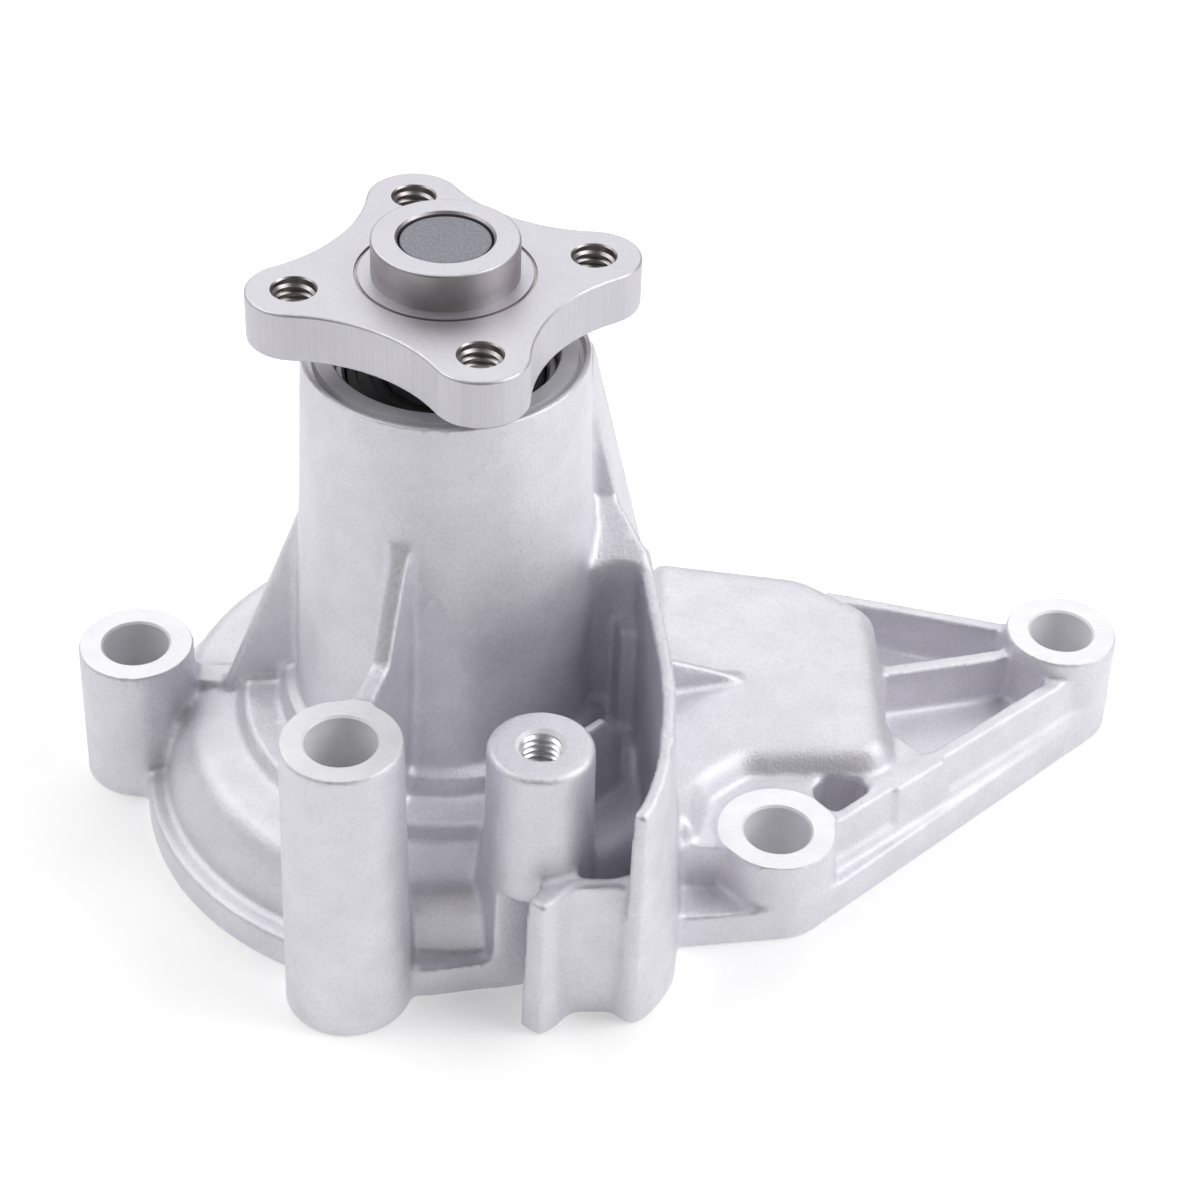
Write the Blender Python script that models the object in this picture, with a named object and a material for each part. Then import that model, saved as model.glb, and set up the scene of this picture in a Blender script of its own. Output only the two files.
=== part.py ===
"""Engine coolant pump: cast body, bearing cartridge, water seal, impeller and pulley flange.

Units are metres. The shaft turns about +Z, the gasket face is the plane z = 0, and +X points to
the far mounting boss. Heights are stacked upwards from the gasket face.
"""

import math

import bmesh
import bpy
from mathutils import Matrix, Vector, geometry

# Clearances and mesh fineness
FIT_GAP = 0.0003
RUN_GAP = 0.0004
OVERRUN = 0.003
FINE_STEPS = 64
INNER_STEPS = 32
BOSS_STEPS = 36
HOLE_STEPS = 24
SMALL_STEPS = 12

# Pulley flange
BOLT_CIRCLE_RADIUS = 0.0200
FLANGE_TAP_RADIUS = 0.0025
FLANGE_TAP_CHAMFER = 0.0007
FLANGE_TURN = math.radians(16.5)
LOBE_COUNT = 4
LOBE_RADIUS = 0.0064
LOBE_REACH = 0.0264
WAIST_RADIUS = 0.0169
FLANGE_THICKNESS = 0.0070
FLANGE_EDGE_BREAK = 0.0005
HUB_RADIUS = 0.0098
HUB_HEIGHT = 0.0053
LOWER_HUB_RADIUS = 0.0105
LOWER_HUB_HEIGHT = 0.0035
HUB_STANDOFF = 0.0012
HUB_EDGE_BREAK = 0.0004
FACE_GROOVE_RADIUS = 0.0121
FACE_GROOVE_WIDTH = 0.0005
FACE_GROOVE_DEPTH = 0.0003

# Shaft and bearing cartridge
SHAFT_RADIUS = 0.00796
SHAFT_END_RADIUS = 0.0060
SHAFT_CHAMFER = 0.0005
SHAFT_END_RECESS = 0.0003
BEARING_RADIUS = 0.0150
BEARING_LENGTH = 0.0420
BEARING_RECESS = 0.0030
ROLLING_RADIUS = 0.0024
ROLLING_COUNT = 8
ROLLER_LENGTH = 0.0130
BALL_ROW_FROM_TOP = 0.0110
ROLLER_ROW_FROM_BOTTOM = 0.0140
CAGE_THICKNESS = 0.0020
CAGE_RIM = 0.0014
BEARING_SEAL_THICKNESS = 0.0015
BEARING_SEAL_INSET = 0.0006

# Impeller and water seal, stacked from the gasket face
IMPELLER_RECESS = 0.0010
IMPELLER_RADIUS = 0.0290
IMPELLER_HUB_RADIUS = 0.0095
IMPELLER_HUB_HEIGHT = 0.0050
IMPELLER_DISC_THICKNESS = 0.0018
VANE_COUNT = 7
VANE_POINTS = 4
VANE_THICKNESS = 0.0016
VANE_SWEEP = math.radians(48)
MATING_RING_HEIGHT = 0.0030
MATING_RING_WIDTH = 0.0037
BOOT_WIDTH = 0.0022
CARBON_RING_HEIGHT = 0.0032
CARBON_RING_WIDTH = 0.0038
SEAL_BORE_CLEARANCE = 0.0006
BELLOWS_HEIGHT = 0.0085
BELLOWS_WALL = 0.0010
BELLOWS_FOLD = 0.0012
BELLOWS_FOLDS = 3
SPRING_WIRE_RADIUS = 0.0005
SPRING_TURNS = 4
SPRING_POINTS_PER_TURN = 16
SEAL_CUP_RADIUS = 0.0140
SEAL_CUP_WALL = 0.0008
SEAL_CUP_HEIGHT = 0.0092
SEAL_CUP_LIP = 0.0016

# Body: volute and tower, turned about the shaft
LIP_RADIUS = 0.0442
LIP_THICKNESS = 0.0050
DOME_FOOT_RADIUS = 0.0411
SHOULDER_RADIUS = 0.0378
SHOULDER_HEIGHT = 0.0141
DOME_STEP_RADIUS = 0.0306
DOME_STEP_HEIGHT = 0.0158
INNER_STEP_RADIUS = 0.0291
INNER_STEP_HEIGHT = 0.0180
COLLAR_RADIUS = 0.0240
COLLAR_HEIGHT = 0.0217
VOLUTE_SWELL = (-0.0011, 0.0050)
TOWER_RADIUS = 0.0194
TOWER_DRAFT = 0.036
RIM_CHAMFER = 0.0006
RIM_LAND = 0.0016
RIM_STEP = 0.0011
MOUTH_WIDTH = 0.0012
BEARING_SHOULDER = 0.0090
SHOULDER_BORE_RADIUS = 0.0112
VOLUTE_WALL = 0.0038
VOLUTE_FLOOR = 0.0122
WEEP_RADIUS = 0.0020

# Body: bosses, as centre, then height and radii
BOLT_HOLE_RADIUS = 0.0048
BOLT_HOLE_CHAMFER = 0.0006
LEFT_BOSS = (-0.0455, 0.0022)
LEFT_BOSS_HEIGHT = 0.0223
LEFT_BOSS_RADIUS = 0.0083
FRONT_BOSS = (-0.0104, -0.0435)
FRONT_BOSS_HEIGHT = 0.0454
FRONT_BOSS_RADIUS = 0.0081
MID_BOSS = (0.0483, -0.0219)
MID_BOSS_HEIGHT = 0.0132
MID_BOSS_RADIUS = 0.0083
FAR_BOSS = (0.0926, 0.0223)
FAR_BOSS_HEIGHT = 0.0159
FAR_BOSS_RADIUS = 0.0084
BOSS_DRAFT = 0.0006
TAPPED_BOSS = (0.0150, -0.0370)
TAPPED_BOSS_HEIGHT = 0.0404
TAPPED_BOSS_RADIUS = 0.0072
TAP_RADIUS = 0.0025
TAP_DEPTH = 0.0180
TAP_CHAMFER = 0.0010
PEDESTAL_HEIGHT = 0.0203
FRONT_FACE = ((-0.0008, -0.0445), (0.0225, -0.0384))

# Body: ribs on the tower
WEB_THICKNESS = 0.0035
WEB_TOP = 0.0598
WEB_KNEE_RADIUS = 0.0295
GUSSET_THICKNESS = 0.0025
GUSSET_TOP = 0.0502
GUSSET_FOOT_RADIUS = 0.0326
BACKING_THICKNESS = 0.0022
BACKING_TOP = 0.0300
BACKING_SHOULDER = 0.0252
BACKING_START = math.radians(-31.5)
BACKING_SHOULDER_START = math.radians(-39)
BACKING_END = math.radians(-62)
BUTTRESS_TOP = 0.0685
BUTTRESS_FRONT = 0.0050
BUTTRESS_WIDTH = 0.0120
BUTTRESS_REACH = 0.0285
BUTTRESS_UPRIGHT = 0.0180
SHELF_FRONT = -0.0045
SHELF_HEIGHT = 0.0460
SHELF_RISE = 0.0050
SHELF_SCOOP = 0.0018
PIN_RIB_RADIUS = 0.0013
PIN_RIB_HEIGHT = 0.0350

# Body: curved wall and the low lip at its front end
WALL_TOP_FRONT = 0.0380
WALL_TOP_BACK = 0.0460
WALL_HALF_THICKNESS = 0.00095
WALL_FOOT_SPREAD = 0.0021
WALL_LINE = ((0.0276, -0.0012), (0.0301, -0.0157), (0.0314, -0.0240), (0.0316, -0.0310),
             (0.0311, -0.0385), (0.0296, -0.0444), (0.0281, -0.0475))
LOW_LIP_HEIGHT = 0.0233
LOW_LIP_SPREAD = 0.0006
LOW_LIP_LINE = ((0.0147, -0.0486), (0.0169, -0.0466), (0.0196, -0.0447), (0.0230, -0.0441), (0.0264, -0.0440),
                (0.0292, -0.0431))

# Body: outlet chamber and arm
CHAMBER_HEIGHT = 0.0165
CHAMBER_ROOF = 0.0034
CHAMBER_WALL = 0.0032
CHAMBER_CROWN = 0.0016
CHAMBER_CORNERS = ((0.0300, -0.0255, 0.0005), (0.0364, -0.0250, 0.0020), (0.0380, -0.0164, 0.0060),
                   (0.0440, -0.0104, 0.0050), (0.0652, -0.0086, 0.0045), (0.0642, 0.0254, 0.0060),
                   (0.0532, 0.0334, 0.0090), (0.0300, 0.0362, 0.0005))
CHAMBER_RIB_HEIGHT = 0.0075
CHAMBER_RIB_THICKNESS = 0.0014
CHAMBER_RIB_START = (0.0285, 0.0028)
CHAMBER_RIB_END = (0.0446, 0.0076)
PLATE_THICKNESS = 0.0055
PLATE_MARGIN = 0.0009
PLATE_CORNERS = ((0.0362, -0.0300, 0.0026), (0.0595, 0.0300, 0.0035), (0.0330, 0.0340, 0.0030))
RAIL_TOP = 0.0130
RAIL_THICKNESS = 0.0023
RAIL_FROM_MID_BOSS = 0.0031
RAIL_FROM_FAR_BOSS = 0.0062
TOP_RAIL_START = (0.0570, 0.0325)
TOP_RAIL_FROM_FAR_BOSS = 0.0028
SPOKE_START = (0.0600, 0.0130)
LUG_WEB_TOP = 0.0129
LUG_WEB = ((0.0320, -0.0272), (0.0366, -0.0258), (0.0402, -0.0258), (0.0432, -0.0280), (0.0580, -0.0190),
           (0.0716, -0.0052), (0.0650, 0.0020), (0.0560, -0.0060), (0.0320, -0.0060))
LUG_POCKET = ((0.0536, -0.0124), (0.0543, -0.0154), (0.0564, -0.0176), (0.0618, -0.0124), (0.0610, -0.0101),
              (0.0554, -0.0099))

# Heights that follow from the stack
IMPELLER_TOP = IMPELLER_RECESS + IMPELLER_HUB_HEIGHT
MATING_RING_BOTTOM = IMPELLER_TOP + FIT_GAP
MATING_RING_TOP = MATING_RING_BOTTOM + MATING_RING_HEIGHT
CARBON_BOTTOM = MATING_RING_TOP + FIT_GAP
CARBON_TOP = CARBON_BOTTOM + CARBON_RING_HEIGHT
BELLOWS_BOTTOM = CARBON_TOP + FIT_GAP
BELLOWS_TOP = BELLOWS_BOTTOM + BELLOWS_HEIGHT
SEAL_CUP_ROOF = BELLOWS_TOP + FIT_GAP
SEAL_CUP_TOP = SEAL_CUP_ROOF + SEAL_CUP_WALL
SEAL_CUP_BOTTOM = SEAL_CUP_TOP - SEAL_CUP_HEIGHT
SEAL_BORE_TOP = SEAL_CUP_TOP + FIT_GAP
BEARING_SEAT = SEAL_BORE_TOP + BEARING_SHOULDER
BEARING_BOTTOM = BEARING_SEAT + FIT_GAP
BEARING_TOP = BEARING_BOTTOM + BEARING_LENGTH
TOWER_TOP = BEARING_TOP + BEARING_RECESS
FLANGE_BOTTOM = TOWER_TOP + LOWER_HUB_HEIGHT + HUB_STANDOFF
FLANGE_TOP = FLANGE_BOTTOM + FLANGE_THICKNESS
HUB_TOP = FLANGE_TOP + HUB_HEIGHT
SHAFT_TOP = HUB_TOP - SHAFT_END_RECESS
SHAFT_SHOULDER = FLANGE_BOTTOM - LOWER_HUB_HEIGHT - FIT_GAP
ROLLING_PITCH = SHAFT_RADIUS + RUN_GAP + ROLLING_RADIUS
RACE_RADIUS = ROLLING_PITCH + ROLLING_RADIUS + RUN_GAP
BALL_ROW = BEARING_TOP - BALL_ROW_FROM_TOP
ROLLER_ROW = BEARING_BOTTOM + ROLLER_ROW_FROM_BOTTOM
SEAL_INNER_RADIUS = SHAFT_RADIUS + SEAL_BORE_CLEARANCE
BELLOWS_OUTER_RADIUS = SEAL_INNER_RADIUS + BELLOWS_WALL + BELLOWS_FOLD
SPRING_CLEAR_RADIUS = BELLOWS_OUTER_RADIUS + RUN_GAP + SPRING_WIRE_RADIUS
SPRING_RADIUS = SPRING_CLEAR_RADIUS / math.cos(math.pi / SPRING_POINTS_PER_TURN)


def clear_scene():
    for old in list(bpy.data.objects):
        bpy.data.objects.remove(old)


def finish_material(name, colour, metallic, roughness):
    material = bpy.data.materials.new(name)
    material.use_nodes = True
    shader = material.node_tree.nodes["Principled BSDF"]
    shader.inputs["Base Color"].default_value = (*colour, 1.0)
    shader.inputs["Metallic"].default_value = metallic
    shader.inputs["Roughness"].default_value = roughness
    return material


def add_object(name, bm):
    """Turns a bmesh into an object in the scene, with its faces pointing out."""
    bmesh.ops.remove_doubles(bm, verts=bm.verts, dist=1e-7)
    bmesh.ops.recalc_face_normals(bm, faces=bm.faces)
    mesh = bpy.data.meshes.new(name)
    bm.to_mesh(mesh)
    bm.free()
    obj = bpy.data.objects.new(name, mesh)
    bpy.context.scene.collection.objects.link(obj)
    return obj


def polar(radius, angle):
    return (radius * math.cos(angle), radius * math.sin(angle))


def turned(point, angle):
    return tuple(Matrix.Rotation(angle, 2) @ Vector(point))


def circle(centre, radius, steps):
    turns = (2 * math.pi * i / steps for i in range(steps))
    return [(centre[0] + radius * math.cos(a), centre[1] + radius * math.sin(a)) for a in turns]


def rounded(corners, steps=6):
    """The outline through (x, y, radius) corners, each rounded by an arc."""
    outline = []
    for i, (x, y, radius) in enumerate(corners):
        corner = Vector((x, y))
        back = (Vector(corners[i - 1][:2]) - corner).normalized()
        ahead = (Vector(corners[(i + 1) % len(corners)][:2]) - corner).normalized()
        half = back.angle(ahead) / 2
        middle = corner + (back + ahead).normalized() * radius / math.sin(half)
        first = corner + back * radius / math.tan(half) - middle
        turn = first.angle_signed(corner + ahead * radius / math.tan(half) - middle)
        for step in range(steps + 1):
            outline.append(tuple(middle + Vector(turned(first, -turn * step / steps))))
    return outline


def hull_of_discs(discs):
    """The outline of a tight belt round discs given as (x, y, radius)."""
    points = [Vector(p) for x, y, radius in discs for p in circle((x, y), radius, BOSS_STEPS)]
    return [tuple(points[i]) for i in geometry.convex_hull_2d(points)]


def inset(outline, distance):
    """A counter-clockwise outline moved inwards by a distance, or outwards where it is negative."""
    moved = []
    for i, point in enumerate(outline):
        back = (Vector(point) - Vector(outline[i - 1])).normalized()
        ahead = (Vector(outline[(i + 1) % len(outline)]) - Vector(point)).normalized()
        normal = Vector((-back.y - ahead.y, back.x + ahead.x)).normalized()
        reach = distance / max(normal.dot(Vector((-back.y, back.x))), 0.2)
        moved.append(tuple(Vector(point) + normal * reach))
    return moved


def drawn_in(corners, distance):
    """The (x, y, radius) corners of the outline this far inside, or outside where it is negative."""
    found = []
    for i, (x, y) in enumerate(inset([corner[:2] for corner in corners], distance)):
        here = Vector(corners[i][:2])
        before = here - Vector(corners[i - 1][:2])
        after = Vector(corners[(i + 1) % len(corners)][:2]) - here
        change = distance if before.cross(after) > 0 else -distance
        found.append((x, y, max(corners[i][2] - change, FIT_GAP)))
    return found


def smooth_line(points, steps=5):
    """Points on a smooth curve that passes through the given ones."""
    line = [Vector(p) for p in points]
    ends = [line[0] * 2 - line[1]] + line + [line[-1] * 2 - line[-2]]
    found = []
    for a, b, c, d in zip(ends, ends[1:], ends[2:], ends[3:]):
        for step in range(steps):
            t = step / steps
            found.append(0.5 * (2 * b + (c - a) * t + (2 * a - 5 * b + 4 * c - d) * t**2
                                + (3 * b - a - 3 * c + d) * t**3))
    return found + [line[-1]]


def ribbon(line, left, right):
    """The outline of a band along a line, reaching left and right of it."""
    sides = []
    for i, point in enumerate(line):
        along = (line[min(i + 1, len(line) - 1)] - line[max(i - 1, 0)]).normalized()
        across = Vector((-along.y, along.x))
        sides.append((point - across * right, point + across * left))
    return [tuple(s[0]) for s in sides] + [tuple(s[1]) for s in reversed(sides)]


def bar(start, end, thickness):
    line = [Vector(start), Vector(end)]
    return ribbon(line, thickness / 2, thickness / 2)


def loft(name, rings):
    """A solid through rings of (x, y, z) points, all with as many points."""
    bm = bmesh.new()
    loops = [[bm.verts.new(p) for p in ring] for ring in rings]
    bm.faces.new(loops[0])
    bm.faces.new(loops[-1])
    count = len(loops[0])
    for low, high in zip(loops, loops[1:]):
        for i in range(count):
            bm.faces.new((low[i - 1], low[i], high[i], high[i - 1]))
    return add_object(name, bm)


def level(outline, z):
    return [(x, y, z) for x, y in outline]


def prism(name, outline, bottom, top):
    return loft(name, [level(outline, bottom), level(outline, top)])


def side_prism(name, outline, start, thickness, along=None):
    """A plate whose (reach, z) outline lies in the upright plane along a direction from the shaft axis."""
    along = Vector(along or (1, 0)).normalized()
    across = Vector((-along.y, along.x))
    rings = []
    for offset in (start, start + thickness):
        shift = across * offset
        rings.append([(*(along * reach + shift), z) for reach, z in outline])
    return loft(name, rings)


def lathe(name, profile, steps=FINE_STEPS, centre=(0, 0), seam=0.0):
    """A turned solid. A profile that starts at radius 0 also ends there, and any other is closed.

    The seam is where round the axis the facets start, as a share of one facet.
    """
    bm = bmesh.new()
    start = polar(1, 2 * math.pi * seam / steps)
    verts = [bm.verts.new((radius * start[0], radius * start[1], z)) for radius, z in profile]
    edges = [bm.edges.new(pair) for pair in zip(verts, verts[1:])]
    if profile[0][0] > 0:
        edges.append(bm.edges.new((verts[-1], verts[0])))
    bmesh.ops.spin(bm, geom=verts + edges, angle=2 * math.pi, steps=steps, axis=(0, 0, 1),
                   cent=(0, 0, 0), use_merge=True)
    bmesh.ops.remove_doubles(bm, verts=bm.verts, dist=1e-7)
    bmesh.ops.translate(bm, verts=bm.verts, vec=(*centre, 0))
    return add_object(name, bm)


def welded(mesh):
    """The mesh with the hairline edges closed that a Boolean leaves."""
    bm = bmesh.new()
    bm.from_mesh(mesh)
    bmesh.ops.remove_doubles(bm, verts=bm.verts, dist=2e-6)
    bmesh.ops.dissolve_degenerate(bm, edges=bm.edges, dist=1e-6)
    bm.to_mesh(mesh)
    bm.free()
    return mesh


def combine(target, tools, operation):
    """Joins tools to the target, or cuts them from it, and removes them."""
    for tool in tools:
        modifier = target.modifiers.new(operation.lower(), "BOOLEAN")
        modifier.operation = operation
        modifier.solver = "EXACT"
        modifier.object = tool
        graph = bpy.context.evaluated_depsgraph_get()
        mesh = bpy.data.meshes.new_from_object(target.evaluated_get(graph))
        target.modifiers.clear()
        target.data = welded(mesh)
        bpy.data.objects.remove(tool)
    return target


def join(target, *tools):
    return combine(target, tools, "UNION")


def cut(target, *tools):
    return combine(target, tools, "DIFFERENCE")


def hand_over(obj, material, parent=None, smooth_below=math.radians(38)):
    """Gives a finished piece its material, shading and the empty that carries it."""
    obj.data.materials.clear()
    obj.data.materials.append(material)
    obj.data.shade_smooth()
    obj.data.set_sharp_from_angle(angle=smooth_below)
    obj.parent = parent
    return obj


def axis_empty(name):
    empty = bpy.data.objects.new(name, None)
    empty.empty_display_size = BOLT_CIRCLE_RADIUS
    bpy.context.scene.collection.objects.link(empty)
    return empty


def tower_radius(z):
    return TOWER_RADIUS + TOWER_DRAFT * (TOWER_TOP - z)


def boss(centre, height, radius):
    """A mounting boss with draft, from below the gasket face to its machined top."""
    foot = radius + BOSS_DRAFT
    return loft("boss", [level(circle(centre, foot, BOSS_STEPS), -OVERRUN),
                         level(circle(centre, radius, BOSS_STEPS), height)])


def chamfered_hole(centre, radius, chamfer, bottom, top, steps=HOLE_STEPS):
    """A cutter for a drilled hole, widened by a chamfer where it meets the top face."""
    profile = [(0, top + OVERRUN), (radius + chamfer, top + OVERRUN), (radius + chamfer, top),
               (radius, top - chamfer), (radius, bottom), (0, bottom)]
    return lathe("hole", profile, steps, centre, 0.5)


def volute_profile(drop=0.0):
    """The turned outside of the volute, from the lip to the step below the tower."""
    knee = (SHOULDER_RADIUS + DOME_FOOT_RADIUS) / 2
    return [(0, -OVERRUN), (LIP_RADIUS, -OVERRUN), (LIP_RADIUS, LIP_THICKNESS - drop),
            (DOME_FOOT_RADIUS, LIP_THICKNESS - drop), (knee, SHOULDER_HEIGHT * 0.77 - drop),
            (SHOULDER_RADIUS, SHOULDER_HEIGHT - drop),
            (SHOULDER_RADIUS - (SHOULDER_HEIGHT - LIP_THICKNESS) * 0.2, SHOULDER_HEIGHT * 1.06 - drop)]


def build_volute():
    """The stepped dome and the tower that grows from it, with the flat at the front of the lip."""
    profile = volute_profile()
    profile += [(DOME_STEP_RADIUS, DOME_STEP_HEIGHT), (INNER_STEP_RADIUS, INNER_STEP_HEIGHT),
                (COLLAR_RADIUS, INNER_STEP_HEIGHT + 0.0004), (COLLAR_RADIUS - 0.0006, COLLAR_HEIGHT - 0.0003),
                (tower_radius(COLLAR_HEIGHT), COLLAR_HEIGHT),
                (tower_radius(TOWER_TOP - RIM_CHAMFER), TOWER_TOP - RIM_CHAMFER),
                (TOWER_RADIUS - RIM_CHAMFER, TOWER_TOP), (0, TOWER_TOP)]
    body = lathe("pump_body", profile)
    swell_profile = volute_profile(0.0003) + [(0, SHOULDER_HEIGHT)]
    join(body, lathe("swell", swell_profile, centre=VOLUTE_SWELL))
    (x0, y0), (x1, y1) = FRONT_FACE
    beyond = y0 - LIP_RADIUS
    front = [(x0, beyond), (x1 + OVERRUN, beyond), (x1 + OVERRUN, y1), (x0, y0)]
    cut(body, prism("front_flat", front, -2 * OVERRUN, SHOULDER_HEIGHT))
    return body


def build_bosses():
    """The four bolt bosses, and the tapped boss on its pedestal."""
    (x0, y0), (x1, y1) = FRONT_FACE
    slope = (y1 - y0) / (x1 - x0)
    left = TAPPED_BOSS[0] - TAPPED_BOSS_RADIUS * 0.75
    right = TAPPED_BOSS[0] + TAPPED_BOSS_RADIUS
    back = TAPPED_BOSS[1] + TAPPED_BOSS_RADIUS
    pedestal = [(left, y0 + slope * (left - x0)), (right, y0 + slope * (right - x0)), (right, back),
                (left - 0.0024, back), (left - 0.0026, TAPPED_BOSS[1])]
    tapped = [level(circle(TAPPED_BOSS, TAPPED_BOSS_RADIUS + BOSS_DRAFT / 2, BOSS_STEPS), PEDESTAL_HEIGHT),
              level(circle(TAPPED_BOSS, TAPPED_BOSS_RADIUS, BOSS_STEPS), TAPPED_BOSS_HEIGHT)]
    return [boss(LEFT_BOSS, LEFT_BOSS_HEIGHT, LEFT_BOSS_RADIUS),
            boss(FRONT_BOSS, FRONT_BOSS_HEIGHT, FRONT_BOSS_RADIUS),
            loft("pedestal", [level(inset(pedestal, -BOSS_DRAFT), -OVERRUN),
                              level(pedestal, PEDESTAL_HEIGHT + 0.0002)]),
            loft("tapped_boss", tapped)]


def arc_band(start, end, steps=6):
    """The outline of the curved backing, between two angles round the shaft."""
    angles = [start + (end - start) * step / steps for step in range(steps + 1)]
    outer = [polar(DOME_STEP_RADIUS, angle) for angle in angles]
    return outer + [polar(DOME_STEP_RADIUS - BACKING_THICKNESS, angle) for angle in reversed(angles)]


def build_tower_ribs():
    """The web to the front boss, the left gusset and the backing behind the tapped boss."""
    web_line = Vector(FRONT_BOSS)
    root = TOWER_RADIUS * 0.8
    web_top = FRONT_BOSS_HEIGHT - 0.0001
    web = [(root, VOLUTE_FLOOR + 0.002), (web_line.length, VOLUTE_FLOOR - 0.004), (web_line.length, web_top),
           (WEB_KNEE_RADIUS, web_top), (tower_radius(WEB_TOP) - 0.0003, WEB_TOP), (root, WEB_TOP)]
    gusset = [(root, VOLUTE_FLOOR + 0.002), (GUSSET_FOOT_RADIUS - 0.0015, VOLUTE_FLOOR + 0.002),
              (GUSSET_FOOT_RADIUS, DOME_STEP_HEIGHT + 0.0012),
              (tower_radius(GUSSET_TOP) - 0.0003, GUSSET_TOP), (root, GUSSET_TOP)]
    foot = arc_band(BACKING_START, BACKING_END)
    backing = [level(foot, VOLUTE_FLOOR + 0.001), level(foot, BACKING_SHOULDER),
               level(arc_band(BACKING_SHOULDER_START, BACKING_END), BACKING_TOP)]
    tie_start = polar(DOME_STEP_RADIUS - BACKING_THICKNESS / 2, BACKING_END)
    tie = bar(tie_start, TAPPED_BOSS, 2 * BACKING_THICKNESS)
    return [side_prism("front_web", web, -WEB_THICKNESS / 2, WEB_THICKNESS, web_line),
            side_prism("left_gusset", gusset, -GUSSET_THICKNESS, GUSSET_THICKNESS, (-1, 0)),
            loft("backing", backing), prism("tie", tie, VOLUTE_FLOOR + 0.0012, BACKING_TOP - 0.0008)]


def build_wall():
    """The tall curved wall, its low front lip, and the shelf and buttress that tie it to the tower."""
    line = smooth_line(WALL_LINE)
    back_y, front_y = WALL_LINE[0][1], WALL_LINE[-1][1]

    def top_of(y):
        share = (min(y, back_y) - front_y) / (back_y - front_y)
        return WALL_TOP_FRONT + (WALL_TOP_BACK - WALL_TOP_FRONT) * share

    half = WALL_HALF_THICKNESS
    foot = ribbon(line, half + WALL_FOOT_SPREAD, half + LOW_LIP_SPREAD)
    head = ribbon(line, half, half)
    wall = loft("wall", [level(foot, -OVERRUN), [(x, y, top_of(y)) for x, y in head]])
    lip_line = smooth_line(LOW_LIP_LINE)
    lip = loft("low_lip", [level(ribbon(lip_line, half, half + LOW_LIP_SPREAD), -OVERRUN),
                           level(ribbon(lip_line, half, half), LOW_LIP_HEIGHT)])

    inner, outer = TOWER_RADIUS * 0.8, WALL_LINE[0][0] + half / 2
    knee = VOLUTE_FLOOR + BUTTRESS_UPRIGHT
    peak = tower_radius(BUTTRESS_TOP) - 0.0002
    scoop = SHELF_SCOOP
    start = tower_radius(SHELF_HEIGHT)
    front = [(inner, SHELF_FRONT - scoop), (start, SHELF_FRONT - scoop)]
    for step in range(1, 6):
        dip = scoop * 1.4 * math.sin(math.pi * step / 6)
        front.append((start + (outer - start) * step / 6, SHELF_FRONT - scoop + dip))
    front += [(outer, SHELF_FRONT - scoop / 2), (outer, back_y)]
    behind = BUTTRESS_FRONT + 0.002
    lean = (BUTTRESS_REACH - peak) / (BUTTRESS_TOP - knee)
    top_reach = peak + lean * (BUTTRESS_TOP - SHELF_HEIGHT - SHELF_RISE)
    rise = SHELF_RISE / (BUTTRESS_FRONT - SHELF_FRONT)
    low = front + [(BUTTRESS_REACH, behind), (inner, behind)]
    high = front + [(top_reach, behind), (inner, behind)]
    shelf = loft("shelf", [level(low, VOLUTE_FLOOR + 0.0015), level(low, knee - 0.0002),
                           [(x, y, SHELF_HEIGHT + (y - SHELF_FRONT) * rise) for x, y in high]])
    side = [(inner, VOLUTE_FLOOR + 0.0012), (BUTTRESS_REACH, VOLUTE_FLOOR + 0.0012), (BUTTRESS_REACH, knee),
            (peak, BUTTRESS_TOP), (inner, BUTTRESS_TOP)]
    buttress = side_prism("buttress", side, BUTTRESS_FRONT, BUTTRESS_WIDTH)
    pin = circle((outer - 0.0022, SHELF_FRONT - 0.0004), PIN_RIB_RADIUS, SMALL_STEPS)
    return [wall, lip, shelf, buttress, prism("pin_rib", pin, VOLUTE_FLOOR + 0.0014, PIN_RIB_HEIGHT)]


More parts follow.
